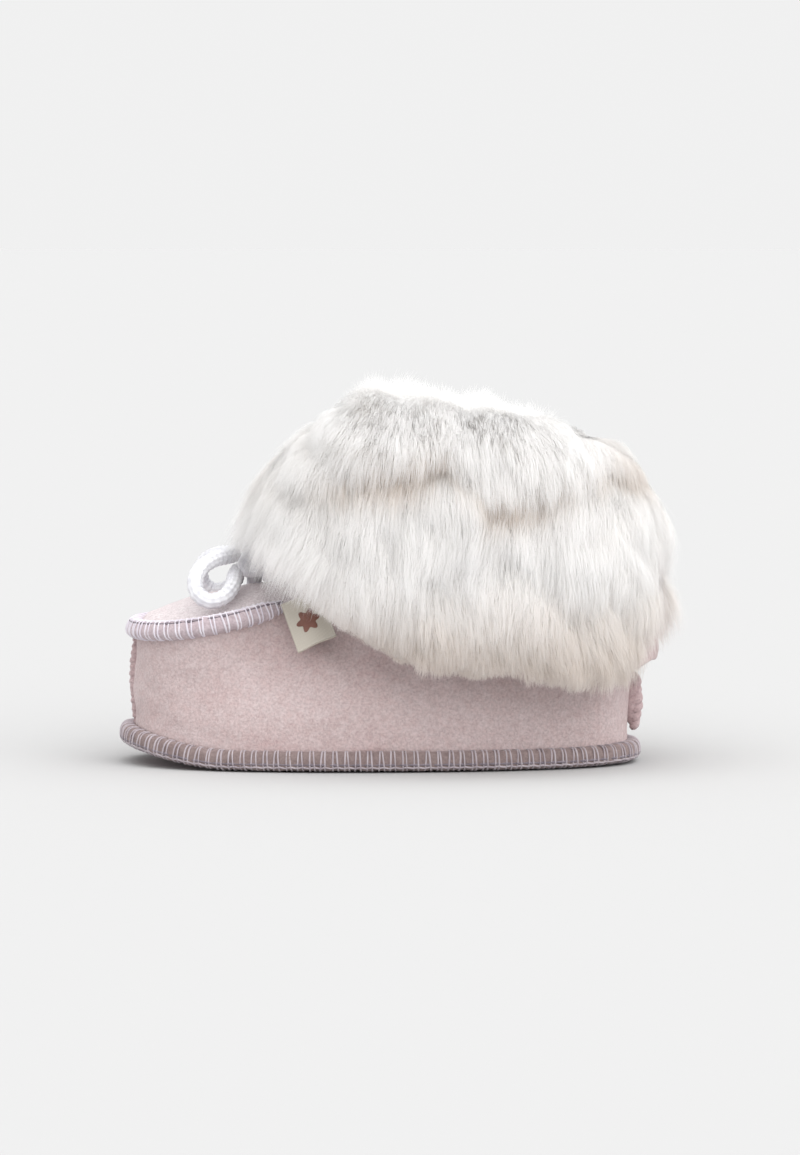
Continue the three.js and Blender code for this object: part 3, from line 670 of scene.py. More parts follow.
def squared_off(angles, squareness=2.7):
    """How much further out a squarish roll reaches at each angle than a round one."""
    return (np.abs(np.cos(angles)) ** squareness + np.abs(np.sin(angles)) ** squareness) ** (-1 / squareness)


def welt_core(name, route, outward, radius, seed, closed):
    """The folded edges under the stitches: a squarish roll with soft unevenness along it."""
    angles = np.linspace(0, 2 * math.pi, CORE_SIDES, endpoint=False)
    corners = squared_off(angles)
    _, side, up = ways_across(route, outward)
    radius = np.broadcast_to(radius, len(route))[:, None]
    plain = tube_points(route, radius, CORE_SIDES, side, up).reshape(-1, 3)
    uneven = radius * corners * (1 + 0.05 * rolling(plain, 4 * MM, seed).reshape(len(route), -1))
    if not closed:
        widest = float(radius.max())
        uneven = uneven * (rounded_ends(route, widest) / widest)[:, None]
    return tube(name, route, uneven, CORE_SIDES, outward, closed)


def ring_on(ring, index, closed):
    """Values between the steps of a route, for places given in steps."""
    steps = np.arange(len(ring) + (1 if closed else 0))
    ring = np.vstack([ring, ring[:1]]) if closed else ring
    index = index % (len(ring) - 1) if closed else np.clip(index, 0, len(ring) - 1)
    return np.stack([np.interp(index, steps, ring[:, axis]) for axis in range(3)], axis=-1)


def welt_stitches(name, route, outward, radius, seed, slant=0.3 * MM, spread=118, closed=True,
                  pitch=STITCH_PITCH, yarn_radius=YARN_RADIUS, spacing=(-0.5 * MM, 0.42 * MM), sunk=0.0):
    """Yarn loops over the outer side of a roll, one for each place in spacing, at every pitch."""
    random = np.random.default_rng(seed)
    _, side, up = ways_across(route, outward)
    step = np.linalg.norm(route[1] - route[0])
    total = len(route) * step if closed else (len(route) - 1) * step
    count = max(2, round(total / pitch))
    swing = np.radians(np.linspace(-spread, spread, LOOP_POINTS))
    radius = np.broadcast_to(radius, len(route))
    reach_ring = np.stack([radius, radius, radius], axis=-1)
    points, quads, fans = [], [], []
    for stitch in range(count):
        for aside in spacing:
            middle = (stitch + 0.5) * total / count + aside + random.normal(0, 0.08 * MM)
            along = middle + swing / np.radians(spread) * (slant * (1 if aside >= 0 else -0.4)
                                                           + random.normal(0, 0.12 * MM))
            at, out, over = (ring_on(ring, along / step, closed) for ring in (route, side, up))
            corners = squared_off(swing) + random.normal(0, 0.01)
            reach = ring_on(reach_ring, along / step, closed)[:, 0] * corners
            reach = reach - sunk - 0.6 * yarn_radius * (np.abs(swing) / swing[-1]) ** 6
            arc = at + (np.cos(swing)[:, None] * out + np.sin(swing)[:, None] * over) * reach[:, None]
            thickness = yarn_radius * (1 + random.normal(0, 0.1)) * np.ones(LOOP_POINTS)
            thickness[[0, -1]] *= 0.4
            _, across, above = ways_across(arc)
            offset = sum(len(part) for part in points)
            loop_points = tube_points(arc, thickness[:, None], LOOP_SIDES, across, above).reshape(-1, 3)
            loop_quads, loop_fans = tube_faces(LOOP_POINTS, LOOP_SIDES)
            points.append(np.vstack([loop_points, arc[:1], arc[-1:]]))
            quads.append(loop_quads + offset)
            fans.append(loop_fans + offset)
    return mesh_from(name, np.vstack(points), np.vstack(quads), np.vstack(fans))


def along_welt(name, route, outward, radius, degrees, thread_radius, closed, wander=0.0):
    """A thread that runs lengthwise on a roll, at an angle from its outward side."""
    _, side, up = ways_across(route, outward)
    travelled = np.arange(len(route)) * ROUTE_STEP
    angle = np.radians(degrees) + wander * np.sin(travelled * 2 * math.pi / STITCH_PITCH)
    reach = (radius * squared_off(angle))[:, None]
    place = route + (np.cos(angle)[:, None] * side + np.sin(angle)[:, None] * up) * reach
    return tube(name, place, thread_radius, 10, outward, closed)


def add_welt(node, route, outward, radius, core_material, yarn_material, seed, closed=False,
             looper_at=None, **stitching):
    """Core, stitches, and where looper_at is given a shaded looper thread with a pale one beside it."""
    core = welt_core(node, route, outward, radius * CORE_SHARE, seed, closed)
    add_piece(node + "_core", core, core_material, "bootie", [node])
    stitches = welt_stitches(node, route, outward, radius, seed + 1, closed=closed, **stitching)
    add_piece(node + "_stitches", stitches, yarn_material)
    if looper_at is not None:
        beside = looper_at + math.copysign(EDGING_ASIDE, looper_at)
        travelled = np.arange(len(route))[:, None] * ROUTE_STEP
        dashed = LOOPER_RADIUS * np.maximum(np.abs(np.sin(travelled * math.pi / STITCH_PITCH)), 0.3) ** 0.6
        looper = along_welt(node, route, outward, radius * 0.93, looper_at, dashed, closed)
        add_piece(node + "_looper", looper, shaded_yarn)
        edging = along_welt(node, route, outward, radius * CORE_SHARE, beside, EDGING_RADIUS, closed, 0.05)
        add_piece(node + "_edging", edging, yarn_material)
    print(node, "stitch faces:", len(stitches.polygons))


# %% Sole and apron welts
SOLE_LOOPER = 24  # degrees below the sole seam's outward side
APRON_LOOPER = 30  # degrees above the apron seam's outward side
THINNING = 6 * MM  # the apron seam thins over this length at its ends


def flat_outward(route, lean, middle=(0, 0)):
    """Level directions away from the middle of a seam, leaning up a little."""
    ahead = unit(np.gradient(route, axis=0))
    across = np.stack([ahead[:, 1], -ahead[:, 0], np.zeros(len(route))], axis=-1)
    away = route[:, :2] - np.array(middle)
    across[np.sum(across[:, :2] * away, axis=1) < 0] *= -1
    across[:, 2] = lean
    return unit(across)


# The sole seam is drawn in its darker colours of painted shade.
add_welt("sole_welt", sole_route, flat_outward(sole_route, 0.1), WELT_RADIUS, sole_edge_painted_shade, sole_yarn_painted_shade, 11,
         closed=True, looper_at=SOLE_LOOPER)
apron_middle = ((APRON_TIP + APRON_END) / 2 + 5 * MM, 0)
from_start = np.arange(len(apron_route)) * ROUTE_STEP
from_end = np.minimum(from_start, from_start[::-1])
apron_radius = WELT_RADIUS * (0.62 + 0.38 * smoothstep(from_end, 0, THINNING))
add_welt("apron_welt", apron_route, flat_outward(apron_route, 0.35, apron_middle), apron_radius,
         welt_edge, seam_yarn, 21, looper_at=APRON_LOOPER)

# %% [markdown]
# ## Toe and heel seams
# Short seams close the toe and the heel. The heel's is thicker and is whipped on the slant, so
# it looks like a rope. Their middles are read from the CAD pieces, height by height.

# %% Toe and heel welts
TOE_SEAM_REACH = 2.4 * MM  # it goes in under the sole seam and the apron seam
ROPE_SUNK = 0.62 * MM


UPRIGHT_STEP = 0.4 * MM


def upright_route(node):
    """The middle of an upright CAD roll, from its lowest ring of points to its highest."""
    points = read_points(frame["nodes"][node].data)
    heights = np.linspace(points[:, 2].min(), points[:, 2].max(), 30)
    weights = np.exp(-((points[None, :, 2] - heights[:, None]) / (1.2 * MM)) ** 2)
    route = weights @ points / weights.sum(axis=1, keepdims=True)
    route[:, 1] = 0
    route[:, 2] = heights
    return even_steps(route, UPRIGHT_STEP)


# Each has its outward direction, then radius, tuck into the wall, slant and pitch of its whipping.
for node, direction, radius, tuck, slant, pitch, seed in (
        ("toe_welt", -1, 2.236 * MM, 2.0 * MM, 0.1 * MM, 1.6 * MM, 31),
        ("heel_welt", 1, 2.15 * MM, 1.1 * MM, 1.4 * MM, 1.95 * MM, 41)):
    route = upright_route(node)
    if node == "toe_welt":
        ends = route[[0, -1]] + np.array([[0, 0, -1], [0, 0, 1]]) * TOE_SEAM_REACH
        route = even_steps(np.vstack([ends[:1], route, ends[1:]]), UPRIGHT_STEP)
    route[:, 0] -= direction * tuck
    share = np.linspace(0, 1, len(route))
    swelling = radius * (0.5 + 0.5 * np.sin(math.pi * share) ** 0.8)
    outward = np.tile([float(direction), 0.0, 0.0], (len(route), 1))
    add_welt(node, route, outward, swelling, rope_edge, rope_edge, seed, slant=slant, pitch=pitch,
             yarn_radius=pitch / 2, spacing=(0.0,), spread=80, sunk=ROPE_SUNK)

# %% [markdown]
# ## Suede panels
# The walls, the apron, the tongue and the sole are soft hide of even thickness. Each panel starts
# as a copy of its CAD piece, is rounded with subdivision, and then its points are moved along
# their normals: slow swells where the hide relaxes, small puckers beside every stitch, and a
# tuck beside each seam.

# %% Panel helpers
MERGE = 0.01 * MM


def evaluated(holder):
    """A new mesh: the object's as its modifiers leave it."""
    return bpy.data.meshes.new_from_object(holder.evaluated_get(bpy.context.evaluated_depsgraph_get()))


def cad_copy(*nodes):
    """One mesh from CAD nodes, with shared points joined and its triangles paired into quads."""
    shape = bmesh.new()
    for node in nodes:
        shape.from_mesh(frame["nodes"][node].data)
    bmesh.ops.remove_doubles(shape, verts=shape.verts, dist=MERGE)
    bmesh.ops.join_triangles(shape, faces=shape.faces, angle_face_threshold=0.8,
                             angle_shape_threshold=1.2)
    bmesh.ops.recalc_face_normals(shape, faces=shape.faces)
    mesh = bpy.data.meshes.new("copy")
    shape.to_mesh(mesh)
    shape.free()
    return mesh


def applied(mesh, *modifiers):
    """The mesh with modifiers applied, each given as its kind and its settings."""
    holder = placed("holder", mesh)
    for kind, settings in modifiers:
        modifier = holder.modifiers.new(kind, kind)
        for setting, value in settings.items():
            setattr(modifier, setting, value)
    bpy.context.view_layer.update()
    result = evaluated(holder)
    bpy.data.objects.remove(holder)
    return result


def nearest(points, route):
    """For each point, the distance to a route and the number of its nearest step."""
    tree = KDTree(len(route))
    for number, place in enumerate(route):
        tree.insert(place, number)
    tree.balance()
    found = [tree.find(point) for point in points]
    return np.array([hit[2] for hit in found]), np.array([hit[1] for hit in found])


# %% Panels
SWELL = 0.42 * MM
SWELL_SIZE = 15 * MM
UNEVEN = 0.12 * MM
UNEVEN_SIZE = 4.5 * MM
PUCKER = 0.2 * MM
PUCKER_REACH = 5 * MM
SEAM_REACH = 3 * MM
SEAM_TUCK = 1.7 * MM
TIP_REACH = 1.8 * MM  # the apron's tip goes in under its seam
seams = {"sole": sole_route, "apron": apron_route}


def shape_panel(mesh, seed):
    """Swells, puckers beside the seams and fine unevenness, in place."""
    points = read_points(mesh)
    moves = SWELL * rolling(points, SWELL_SIZE, seed) + UNEVEN * rolling(points, UNEVEN_SIZE, seed + 1)
    tucked = np.zeros_like(points)
    for route in seams.values():
        away, step = nearest(points, route)
        close = np.exp(-(np.maximum(away - WELT_RADIUS, 0) / PUCKER_REACH) ** 2 * 2)
        moves += PUCKER * close * np.cos(2 * math.pi * step * ROUTE_STEP / STITCH_PITCH)
        moves *= 1 - 0.5 * close
        meeting = smoothstep(-away, -WELT_RADIUS - SEAM_REACH, -WELT_RADIUS)
        tucked = tucked + (route[step] - points) * (meeting * SEAM_TUCK / np.maximum(away, MM))[:, None]
    shaped = points + read_normals(mesh) * moves[:, None] + tucked
    shaped[:, 2] = np.maximum(shaped[:, 2], 0)
    write_points(mesh, shaped)
    return mesh


def reach_tip(mesh):
    """Moves the apron's tip in under its seam."""
    points = read_points(mesh)
    points[:, 0] -= TIP_REACH * smoothstep(-points[:, 0], -APRON_TIP - 8 * MM, -APRON_TIP - 2 * MM)
    write_points(mesh, points)


# Each panel's CAD piece, material and levels of subdivision.
panels = (("wall_hide_left", wall_suede, 2), ("wall_hide_right", wall_suede, 2),
          ("apron_hide", apron_suede, 2), ("tongue_hide", apron_suede, 2),
          ("cuff_hide_left", wall_suede, 1), ("cuff_hide_right", wall_suede, 1),
          ("sole_hide", sole_suede, 2))
for seed, (node, material, levels) in enumerate(panels, 101):
    rounded = applied(cad_copy(node), ("SUBSURF", {"levels": levels}))
    if node == "apron_hide":
        reach_tip(rounded)
    panel = add_piece(node + "_panel", shape_panel(rounded, seed), material, "bootie", [node])
    print(panel.name, "faces:", len(rounded.polygons))

# %% [markdown]
# ## The side tag
# A folded piece of woven tape is caught in the seam by its top edge and hangs free. It is a thin
# sheet that curls a little, drawn at its real size of 10 by 13 mm, with a small embroidered
# rosette. Its place is the CAD tag's own: the hinge gives its top edge and its direction.

# %% Side tag
TAG_WIDTH = 10 * MM
TAG_LENGTH = 13 * MM
TAG_THICKNESS = 0.5 * MM
TAG_CURL = 0.7 * MM
TAG_CUP = 0.35 * MM
HEM_RISE = 0.12 * MM
tag_joint = next(joint for joint in frame["joints"] if joint["name"] == "tag_lift")
tag_top = np.array(tag_joint["pos_m"])
tag_across = unit(np.array(tag_joint["axis"]))
tag_down = cad_box_of("side_tag")[2] - tag_top
tag_down = unit(tag_down - tag_across * (tag_down @ tag_across))
tag_away = np.cross(tag_across, tag_down)
tag_away = tag_away * -np.sign(tag_away[1])


def on_tag(u, v, proud=0.0):
    """A point on the tag, u and v in metres across it and down it."""
    cupped = TAG_CUP * np.cos(2 * math.pi * u / TAG_WIDTH) * v / TAG_LENGTH
    risen = TAG_CURL * (v / TAG_LENGTH) ** 2 + cupped + proud
    return tag_top + u[..., None] * tag_across + v[..., None] * tag_down + risen[..., None] * tag_away


columns, rows = 28, 34
u, v = np.meshgrid(np.linspace(-0.5, 0.5, columns) * TAG_WIDTH, np.linspace(0, 1, rows) * TAG_LENGTH)
hem_line = HEM_RISE * np.exp(-((np.abs(u) - TAG_WIDTH / 2 + 0.5 * MM) / (0.35 * MM)) ** 2)
front = on_tag(u, v, TAG_THICKNESS / 2 + hem_line).reshape(-1, 3)
rear = on_tag(u, v, -TAG_THICKNESS / 2 + 0 * u).reshape(-1, 3)
grid = np.arange(rows * columns).reshape(rows, columns)
corners = (grid[:-1, :-1], grid[:-1, 1:], grid[1:, 1:], grid[1:, :-1])
sheet_quads = np.stack(corners, axis=-1).reshape(-1, 4)
rim = np.concatenate([grid[0, :-1], grid[:-1, -1], grid[-1, :0:-1], grid[:0:-1, 0]])
next_rim = np.roll(rim, -1)
rim_quads = np.stack([rim, next_rim, next_rim + len(front), rim + len(front)], axis=-1)
rear_quads = sheet_quads[:, ::-1] + len(front)
tag_mesh = mesh_from("side_tag", np.vstack([front, rear]), sheet_quads, rear_quads, rim_quads)
in_mm = np.tile(np.stack([u.ravel(), v.ravel()], axis=-1) / MM, (2, 1))
corner_points = np.empty(len(tag_mesh.loops), dtype=np.int32)
tag_mesh.loops.foreach_get("vertex_index", corner_points)
tape_mm = tag_mesh.uv_layers.new(name="tape_mm").data
tape_mm.foreach_set("uv", in_mm[corner_points].astype(np.float32).ravel())

# %% Tag motif
PETALS = 6
MOTIF_RADIUS = 2.5 * MM
MOTIF_HEIGHT = 0.16 * MM
petal_turns = np.linspace(0, 2 * math.pi, 97)[:-1]
rings = np.linspace(0, 1, 7)[1:]
outline = MOTIF_RADIUS * (1 + 0.22 * np.cos(PETALS * petal_turns))
motif_u = (rings[:, None] * outline * np.cos(petal_turns)).ravel()
motif_v = (rings[:, None] * outline * np.sin(petal_turns)).ravel() + 0.5 * TAG_LENGTH
dome = np.repeat(MOTIF_HEIGHT * np.sqrt(1 - (rings * 0.98) ** 2), len(petal_turns))
motif_points = on_tag(motif_u, motif_v, TAG_THICKNESS / 2 + dome)
motif_quads, _ = tube_faces(len(rings), len(petal_turns))
centre = on_tag(np.array([0.0]), np.array([0.5 * TAG_LENGTH]), TAG_THICKNESS / 2 + MOTIF_HEIGHT)
hub = np.arange(len(petal_turns))
hub_fan = np.stack([(hub + 1) % len(hub), hub, np.full(len(hub), len(motif_points))], axis=-1)
rosette = mesh_from("rosette", np.vstack([motif_points, centre]), motif_quads, hub_fan)
motif = add_piece("tag_rosette", rosette, motif_yarn, "tag")
tag = add_piece("side_tag_tape", tag_mesh, tag_tape, "tag", ["side_tag"])
print("tag leans, degrees:", round(math.degrees(math.acos(-tag_down[2]))))

# %% [markdown]
# ## The wool cuff's body
# The turned-down cuff is a padded ring: hide with dense wool. Its body is a copy of the CAD cuff,
# made thinner, remeshed evenly and blown up a little by a cloth simulation with inner pressure,
# which gives it the soft, full roundness of a real fleece. Towards the front and the heel its
# upper part leans in, as a soft collar does. It is the ground that the long wool grows from, so
# creases are pressed into it where the upper roll meets the lower skirt.

# %% Cuff body
COMB_DEPTH = 3.4 * MM
SIMULATION_FRAMES = 20
PRESSURE = 4
PUFF_CAP = 5 * MM
VOXEL = 2.5 * MM
HEEL_TUCK = 3 * MM
# How far the body leans in at each height, at its front and at its heel.
PROFILE_Z = np.array([50, 61, 69, 77, 84, 89]) * MM
FRONT_BACKED = np.array([0, 2.5, 5.5, 9, 11.5, 18]) * MM
HEEL_BACKED = np.array([2.5, 3, 5.5, 10, 16, 22]) * MM


def level_outward(points):
    """The level direction away from the ankle at each point."""
    away = np.zeros_like(points)
    away[:, 0] = (points[:, 0] - COLLAR_MIDDLE) / COLLAR_HALF_LENGTH ** 2
    away[:, 1] = points[:, 1] / COLLAR_HALF_WIDTH ** 2
    return unit(away)


def puffed(mesh):
    """The mesh after a short cloth simulation with pressure, with how far a point may move capped."""
    holder = placed("cuff_body", mesh)
    cloth = holder.modifiers.new("cloth", "CLOTH")
    cloth.settings.use_pressure = True
    cloth.settings.uniform_pressure_force = PRESSURE
    cloth.settings.effector_weights.gravity = 0
    for number in range(1, SIMULATION_FRAMES + 1):
        bpy.context.scene.frame_set(number)
    result = evaluated(holder)
    bpy.context.scene.frame_set(1)
    bpy.data.objects.remove(holder)
    start = read_points(mesh)
    moved = read_points(result) - start
    far = np.linalg.norm(moved, axis=1, keepdims=True)
    write_points(result, start + moved * np.minimum(1, PUFF_CAP / np.maximum(far, 1e-9)))
    return result


cuff_mesh = cad_copy("cuff_wool_left", "cuff_wool_right")
cuff_points = read_points(cuff_mesh)
cuff_normals = read_normals(cuff_mesh)
outside = np.sum(cuff_normals * level_outward(cuff_points), axis=1)
cuff_x, _, cuff_z = cuff_points.T
at_front = smoothstep(-cuff_x, 4 * MM, 36 * MM)
at_heel = smoothstep(cuff_x, 28 * MM, 64 * MM)
under_heel = HEEL_TUCK * smoothstep(cuff_x, 56 * MM, 64 * MM) * smoothstep(-cuff_z, -33 * MM, -24 * MM)
leaning = np.zeros_like(cuff_points)
leaning[:, 0] = (at_front * np.interp(cuff_z, PROFILE_Z, FRONT_BACKED)
                 - at_heel * np.interp(cuff_z, PROFILE_Z, HEEL_BACKED) - under_heel)
trim = COMB_DEPTH * np.maximum(smoothstep(outside, -0.3, 0.4), smoothstep(cuff_normals[:, 2], 0.0, 0.6))
write_points(cuff_mesh, cuff_points - cuff_normals * trim[:, None] + leaning)
cuff_mesh = applied(cuff_mesh, ("REMESH", {"mode": "VOXEL", "voxel_size": VOXEL}))
cuff_mesh = puffed(cuff_mesh)
cuff_mesh = applied(cuff_mesh, ("SUBSURF", {"levels": 1}))
print("cuff body faces:", len(cuff_mesh.polygons))

# %% Creases in the cuff
# Height of the crease under the upper roll, and how deep it is, by place along the foot.
CREASE_X = np.array([-45, -20, 0, 11, 16, 20, 34, 41, 48, 57, 70]) * MM
CREASE_Z = np.array([64, 68, 70, 73, 68.5, 64, 65, 68.5, 70.5, 67.5, 66.5]) * MM
CREASE_HALF_HEIGHT = 2.6 * MM
CREASE_PRESSED = 1.8 * MM
CREASE_DEPTH = np.array([0.0, 0.05, 0.8, 0.8, 0.1, 0.7, 0.7, 0.05, 0.4, 0.3, 0.05])


def crease(points):
    """How deep in a crease each point is, from 0 to 1."""
    height = np.interp(points[:, 0], CREASE_X, CREASE_Z)
    depth = np.interp(points[:, 0], CREASE_X, CREASE_DEPTH)
    from_ankle = np.sum((points - (COLLAR_MIDDLE, 0, 0)) * level_outward(points), axis=1)
    outer = smoothstep(from_ankle, 20 * MM, 28 * MM)
    return np.exp(-((points[:, 2] - height) / CREASE_HALF_HEIGHT) ** 2) * depth * outer


body_points = read_points(cuff_mesh)
body_normals = read_normals(cuff_mesh)
clumps = 0.8 * MM * rolling(body_points, 14 * MM, 61) + 0.15 * MM * rolling(body_points, 4 * MM, 62)
pressed = clumps - CREASE_PRESSED * crease(body_points)
write_points(cuff_mesh, body_points + body_normals * pressed[:, None])
# Painted shade: the body's colour is mixed towards beige in the creases.
add_values(cuff_mesh, along_hair=0.15, in_crease=0.6 * crease(body_points))
cuff_body = add_piece("cuff_fleece_body", cuff_mesh, long_wool, "bootie",
                      ["cuff_wool_left", "cuff_wool_right"])

# %% [markdown]
# ## Long wool
# Combed fleece is locks, not single hairs: hairs lean together into fine wisps, and wisps into
# locks. Each hair here is a flat tapered ribbon, grown from a random place on the cuff's body. It
# leaves along the surface's normal and bends towards the way the wool is combed: down on the
# skirt, forwards at the toe side, and over the roll at the top. Every hair is then drawn towards
# the leader of its wisp and of its lock, more so near its tip. It is shown in pieces round the
# ankle, each of a size that a viewer can open.

# %% Growing wool
HAIR_STEPS = 4
HAIR_WIDTH = 0.1 * MM  # a wisp of several fibres, as a single one of 0.03 mm is too fine to show


def scatter(mesh, count, seed, wanted):
    """Random places on a mesh, spread by area where wanted(points, normals) allows, with normals."""
    mesh.calc_loop_triangles()
    corners = np.empty(len(mesh.loop_triangles) * 3, dtype=np.int32)
    mesh.loop_triangles.foreach_get("vertices", corners)
    corners = corners.reshape(-1, 3)
    points, normals = read_points(mesh), read_normals(mesh)
    triangles = points[corners]
    sides = triangles[:, 1:] - triangles[:, :1]
    areas = np.linalg.norm(np.cross(sides[:, 0], sides[:, 1]), axis=1)
    areas = areas * wanted(triangles.mean(axis=1), unit(normals[corners].mean(axis=1)))
    random = np.random.default_rng(seed)
    chosen = random.choice(len(areas), count, p=areas / areas.sum())
    share = random.random((count, 2))
    over = share.sum(axis=1) > 1
    share[over] = 1 - share[over]
    weights = np.column_stack([1 - share.sum(axis=1), share])[..., None]
    places = (triangles[chosen] * weights).sum(axis=1)
    return places, unit((normals[corners][chosen] * weights).sum(axis=1))


def lean_together(paths, roots, count, strength, seed, power):
    """Draws each hair's path towards the leader of the group that it is nearest to."""
    leaders = np.random.default_rng(seed).choice(len(roots), count, replace=False)
    _, group = nearest(roots, roots[leaders])
    share = np.linspace(0, 1, paths.shape[1])[None, :, None] ** power
    pull = strength[group][:, None, None] if np.ndim(strength) else strength
    return paths + (paths[leaders[group]] - paths) * share * pull


def hair_paths(roots, normals, comb, lengths, lift, seed, wave):
    """Paths that leave along the normal and bend by lift to the combed direction, with a slow wave."""
    random = np.random.default_rng(seed)
    steps = np.arange(HAIR_STEPS) / (HAIR_STEPS - 1)
    paths = np.empty((len(roots), HAIR_STEPS + 1, 3))
    paths[:, 0] = roots
    for number, share in enumerate(steps):
        if np.ndim(lift):
            bend = smoothstep(share / lift, -0.25, 1)[:, None]
        else:
            bend = smoothstep(share, -0.25, lift)
        ahead = unit(normals * (1 - bend) + comb * bend)
        paths[:, number + 1] = paths[:, number] + ahead * (lengths / HAIR_STEPS)[:, None]
    sideways = unit(np.cross(comb, normals) + 1e-6)
    phase = random.uniform(0, 2 * math.pi, len(roots))
    for number in range(1, HAIR_STEPS + 1):
        swing = wave * (number / HAIR_STEPS) * np.sin(phase + number * 1.1)
        paths[:, number] += sideways * swing[:, None]
    return paths


def ribbons(name, paths, facing, width, seed, painted_shade_and_pile_tone):
    """Flat tapered ribbons along paths, turned to face outwards with a random roll."""
    random = np.random.default_rng(seed)
    count, steps = paths.shape[:2]
    ahead = unit(np.gradient(paths, axis=1))
    flat = unit(np.cross(ahead, facing[:, None]))
    roll = random.normal(0, 0.1, count)[:, None, None]
    across = flat * np.cos(roll) + np.cross(ahead, flat) * np.sin(roll)
    widths = width * random.uniform(0.7, 1.3, count)[:, None, None]
    taper = np.linspace(1, 0.25, steps)[None, :, None] * widths
    pair = np.stack([paths - across * taper / 2, paths + across * taper / 2], axis=2)
    body = pair[:, :-1].reshape(count, -1, 3)
    points = np.concatenate([body, paths[:, -1:]], axis=1)
    per_hair = points.shape[1]
    start = (np.arange(count) * per_hair)[:, None, None]
    rung = np.arange(steps - 2)[:, None] * 2 + np.array([0, 1, 3, 2])
    quads = (start + rung[None]).reshape(-1, 4)
    tip = (start[:, 0] + np.array([per_hair - 3, per_hair - 2, per_hair - 1])).reshape(-1, 3)
    along = np.concatenate([np.repeat(np.arange(steps - 1), 2), [steps - 1]]) / (steps - 1)
    # The in_crease value says how much beige each hair takes: painted shade on the cuff's hairs, a small fixed
    # tone on the linings' tufts.
    return mesh_from(name, points.reshape(-1, 3), quads, tip,
                     along_hair=np.tile(along, count), in_crease=np.repeat(painted_shade_and_pile_tone, per_hair))


# %% The cuff's long wool
# Height of the wool's lower edge by place along the foot.
HEM_X = np.array([-38, -29.4, -23, -17, -13.3, -5.9, 1.6, 10.2, 20.5, 34, 42, 50, 58, 61, 70]) * MM
HEM_Z = np.array([44, 39, 37.5, 35.5, 33, 29.5, 26.5, 23.5, 22.8, 20.5, 18.5, 17, 17.5, 24.5, 26]) * MM
LONG_HAIRS = 310000
HAIRS_IN_WISP = 10
LOCKS = 2600
SKIRT_HAIR = 12.5
ROLL_HAIR = 7.5
FOLD = 69.8 * MM


def outer_part(points, normals):
    """Leaves out the side of the cuff's body that faces the ankle, under the fold."""
    inwards = np.sum(normals * level_outward(points), axis=1) < -0.35
    crowded = 1 + 1.2 * smoothstep(normals[:, 2], 0.1, 0.7)
    return np.where(inwards & (points[:, 2] < FOLD - 6 * MM), 0.0, crowded)


roots, normals = scatter(cuff_mesh, LONG_HAIRS, 71, outer_part)
away = level_outward(roots)
facing_out = np.sum(normals * away, axis=1)
toe_side = smoothstep(-roots[:, 0], 5 * MM, 32 * MM)
fullness = smoothstep(roots[:, 2], FOLD, FOLD + 12 * MM) * (1 - 0.75 * toe_side)
down = np.array([0.0, 0.0, -1.0])
forward = np.array([-1.0, 0.0, 0.0])
hanging = unit(down + away * 0.1 + forward * 0.4 * toe_side[:, None])
outwards, downwards = 0.6 + 0.3 * facing_out, 0.15 + 0.6 * facing_out
over_roll = unit(away * outwards[:, None] + down * downwards[:, None])
into_opening = unit(-away * 0.7 + np.array([0, 0, 0.45]))
inner = smoothstep(-facing_out, 0.1, 0.6)[:, None]
at_top = over_roll * (1 - inner) + into_opening * inner
comb = hanging * (1 - fullness[:, None]) + at_top * fullness[:, None]
random = np.random.default_rng(72)
drift = np.stack([rolling(roots, 16 * MM, 73 + axis) for axis in range(3)], axis=-1)
comb = unit(comb + 0.17 * drift + 0.13 * random.normal(size=roots.shape))
in_crease = crease(roots)
# Painted shade: the hairs low on the cuff take more of the beige, darker towards the bottom.
shaded_low = 0.4 * smoothstep(-roots[:, 2], -50 * MM, -26 * MM)
lengths = (SKIRT_HAIR + (ROLL_HAIR - SKIRT_HAIR) * fullness + 1.2 * rolling(roots, 10 * MM, 77)) * MM
lengths *= random.uniform(0.6, 1.15, len(roots))
lengths *= 1 - 0.45 * in_crease
hem = np.interp(roots[:, 0], HEM_X, HEM_Z) + 1.4 * MM * rolling(roots, 7 * MM, 78)
room = np.maximum(roots[:, 2] - hem, 1.5 * MM) * random.uniform(0.5, 1.15, len(roots))
near_hem = smoothstep(-roots[:, 2], -hem - 18 * MM, -hem - 6 * MM) * (1 - fullness)
at_tag = smoothstep(-roots[:, 0], -12 * MM, 12 * MM)
lengths = np.minimum(lengths + 8 * MM * near_hem * at_tag, np.where(fullness < 0.5, room, np.inf))
lift = np.clip(0.6 + 0.15 * rolling(roots, 10 * MM, 79) + 0.2 * fullness, 0.35, 1.2)
paths = hair_paths(roots, normals, comb, lengths, lift, 80, 0.35 * MM)
paths = lean_together(paths, roots, LONG_HAIRS // HAIRS_IN_WISP, 0.26, 81, 1.0)
lock_pull = np.random.default_rng(82).uniform(0.0, 0.25, LOCKS)
paths = lean_together(paths, roots, LOCKS, lock_pull, 83, 1.5)
print("hairs:", len(paths), "mean length, mm:", round(float(lengths.mean()) / MM, 1))

# %% The long wool's pieces
WOOL_PIECES = ("heel_right", "back_right", "waist_right", "side_right", "front_right", "throat_right",
               "throat_left", "front_left", "side_left", "waist_left", "back_left", "heel_left", "heel")
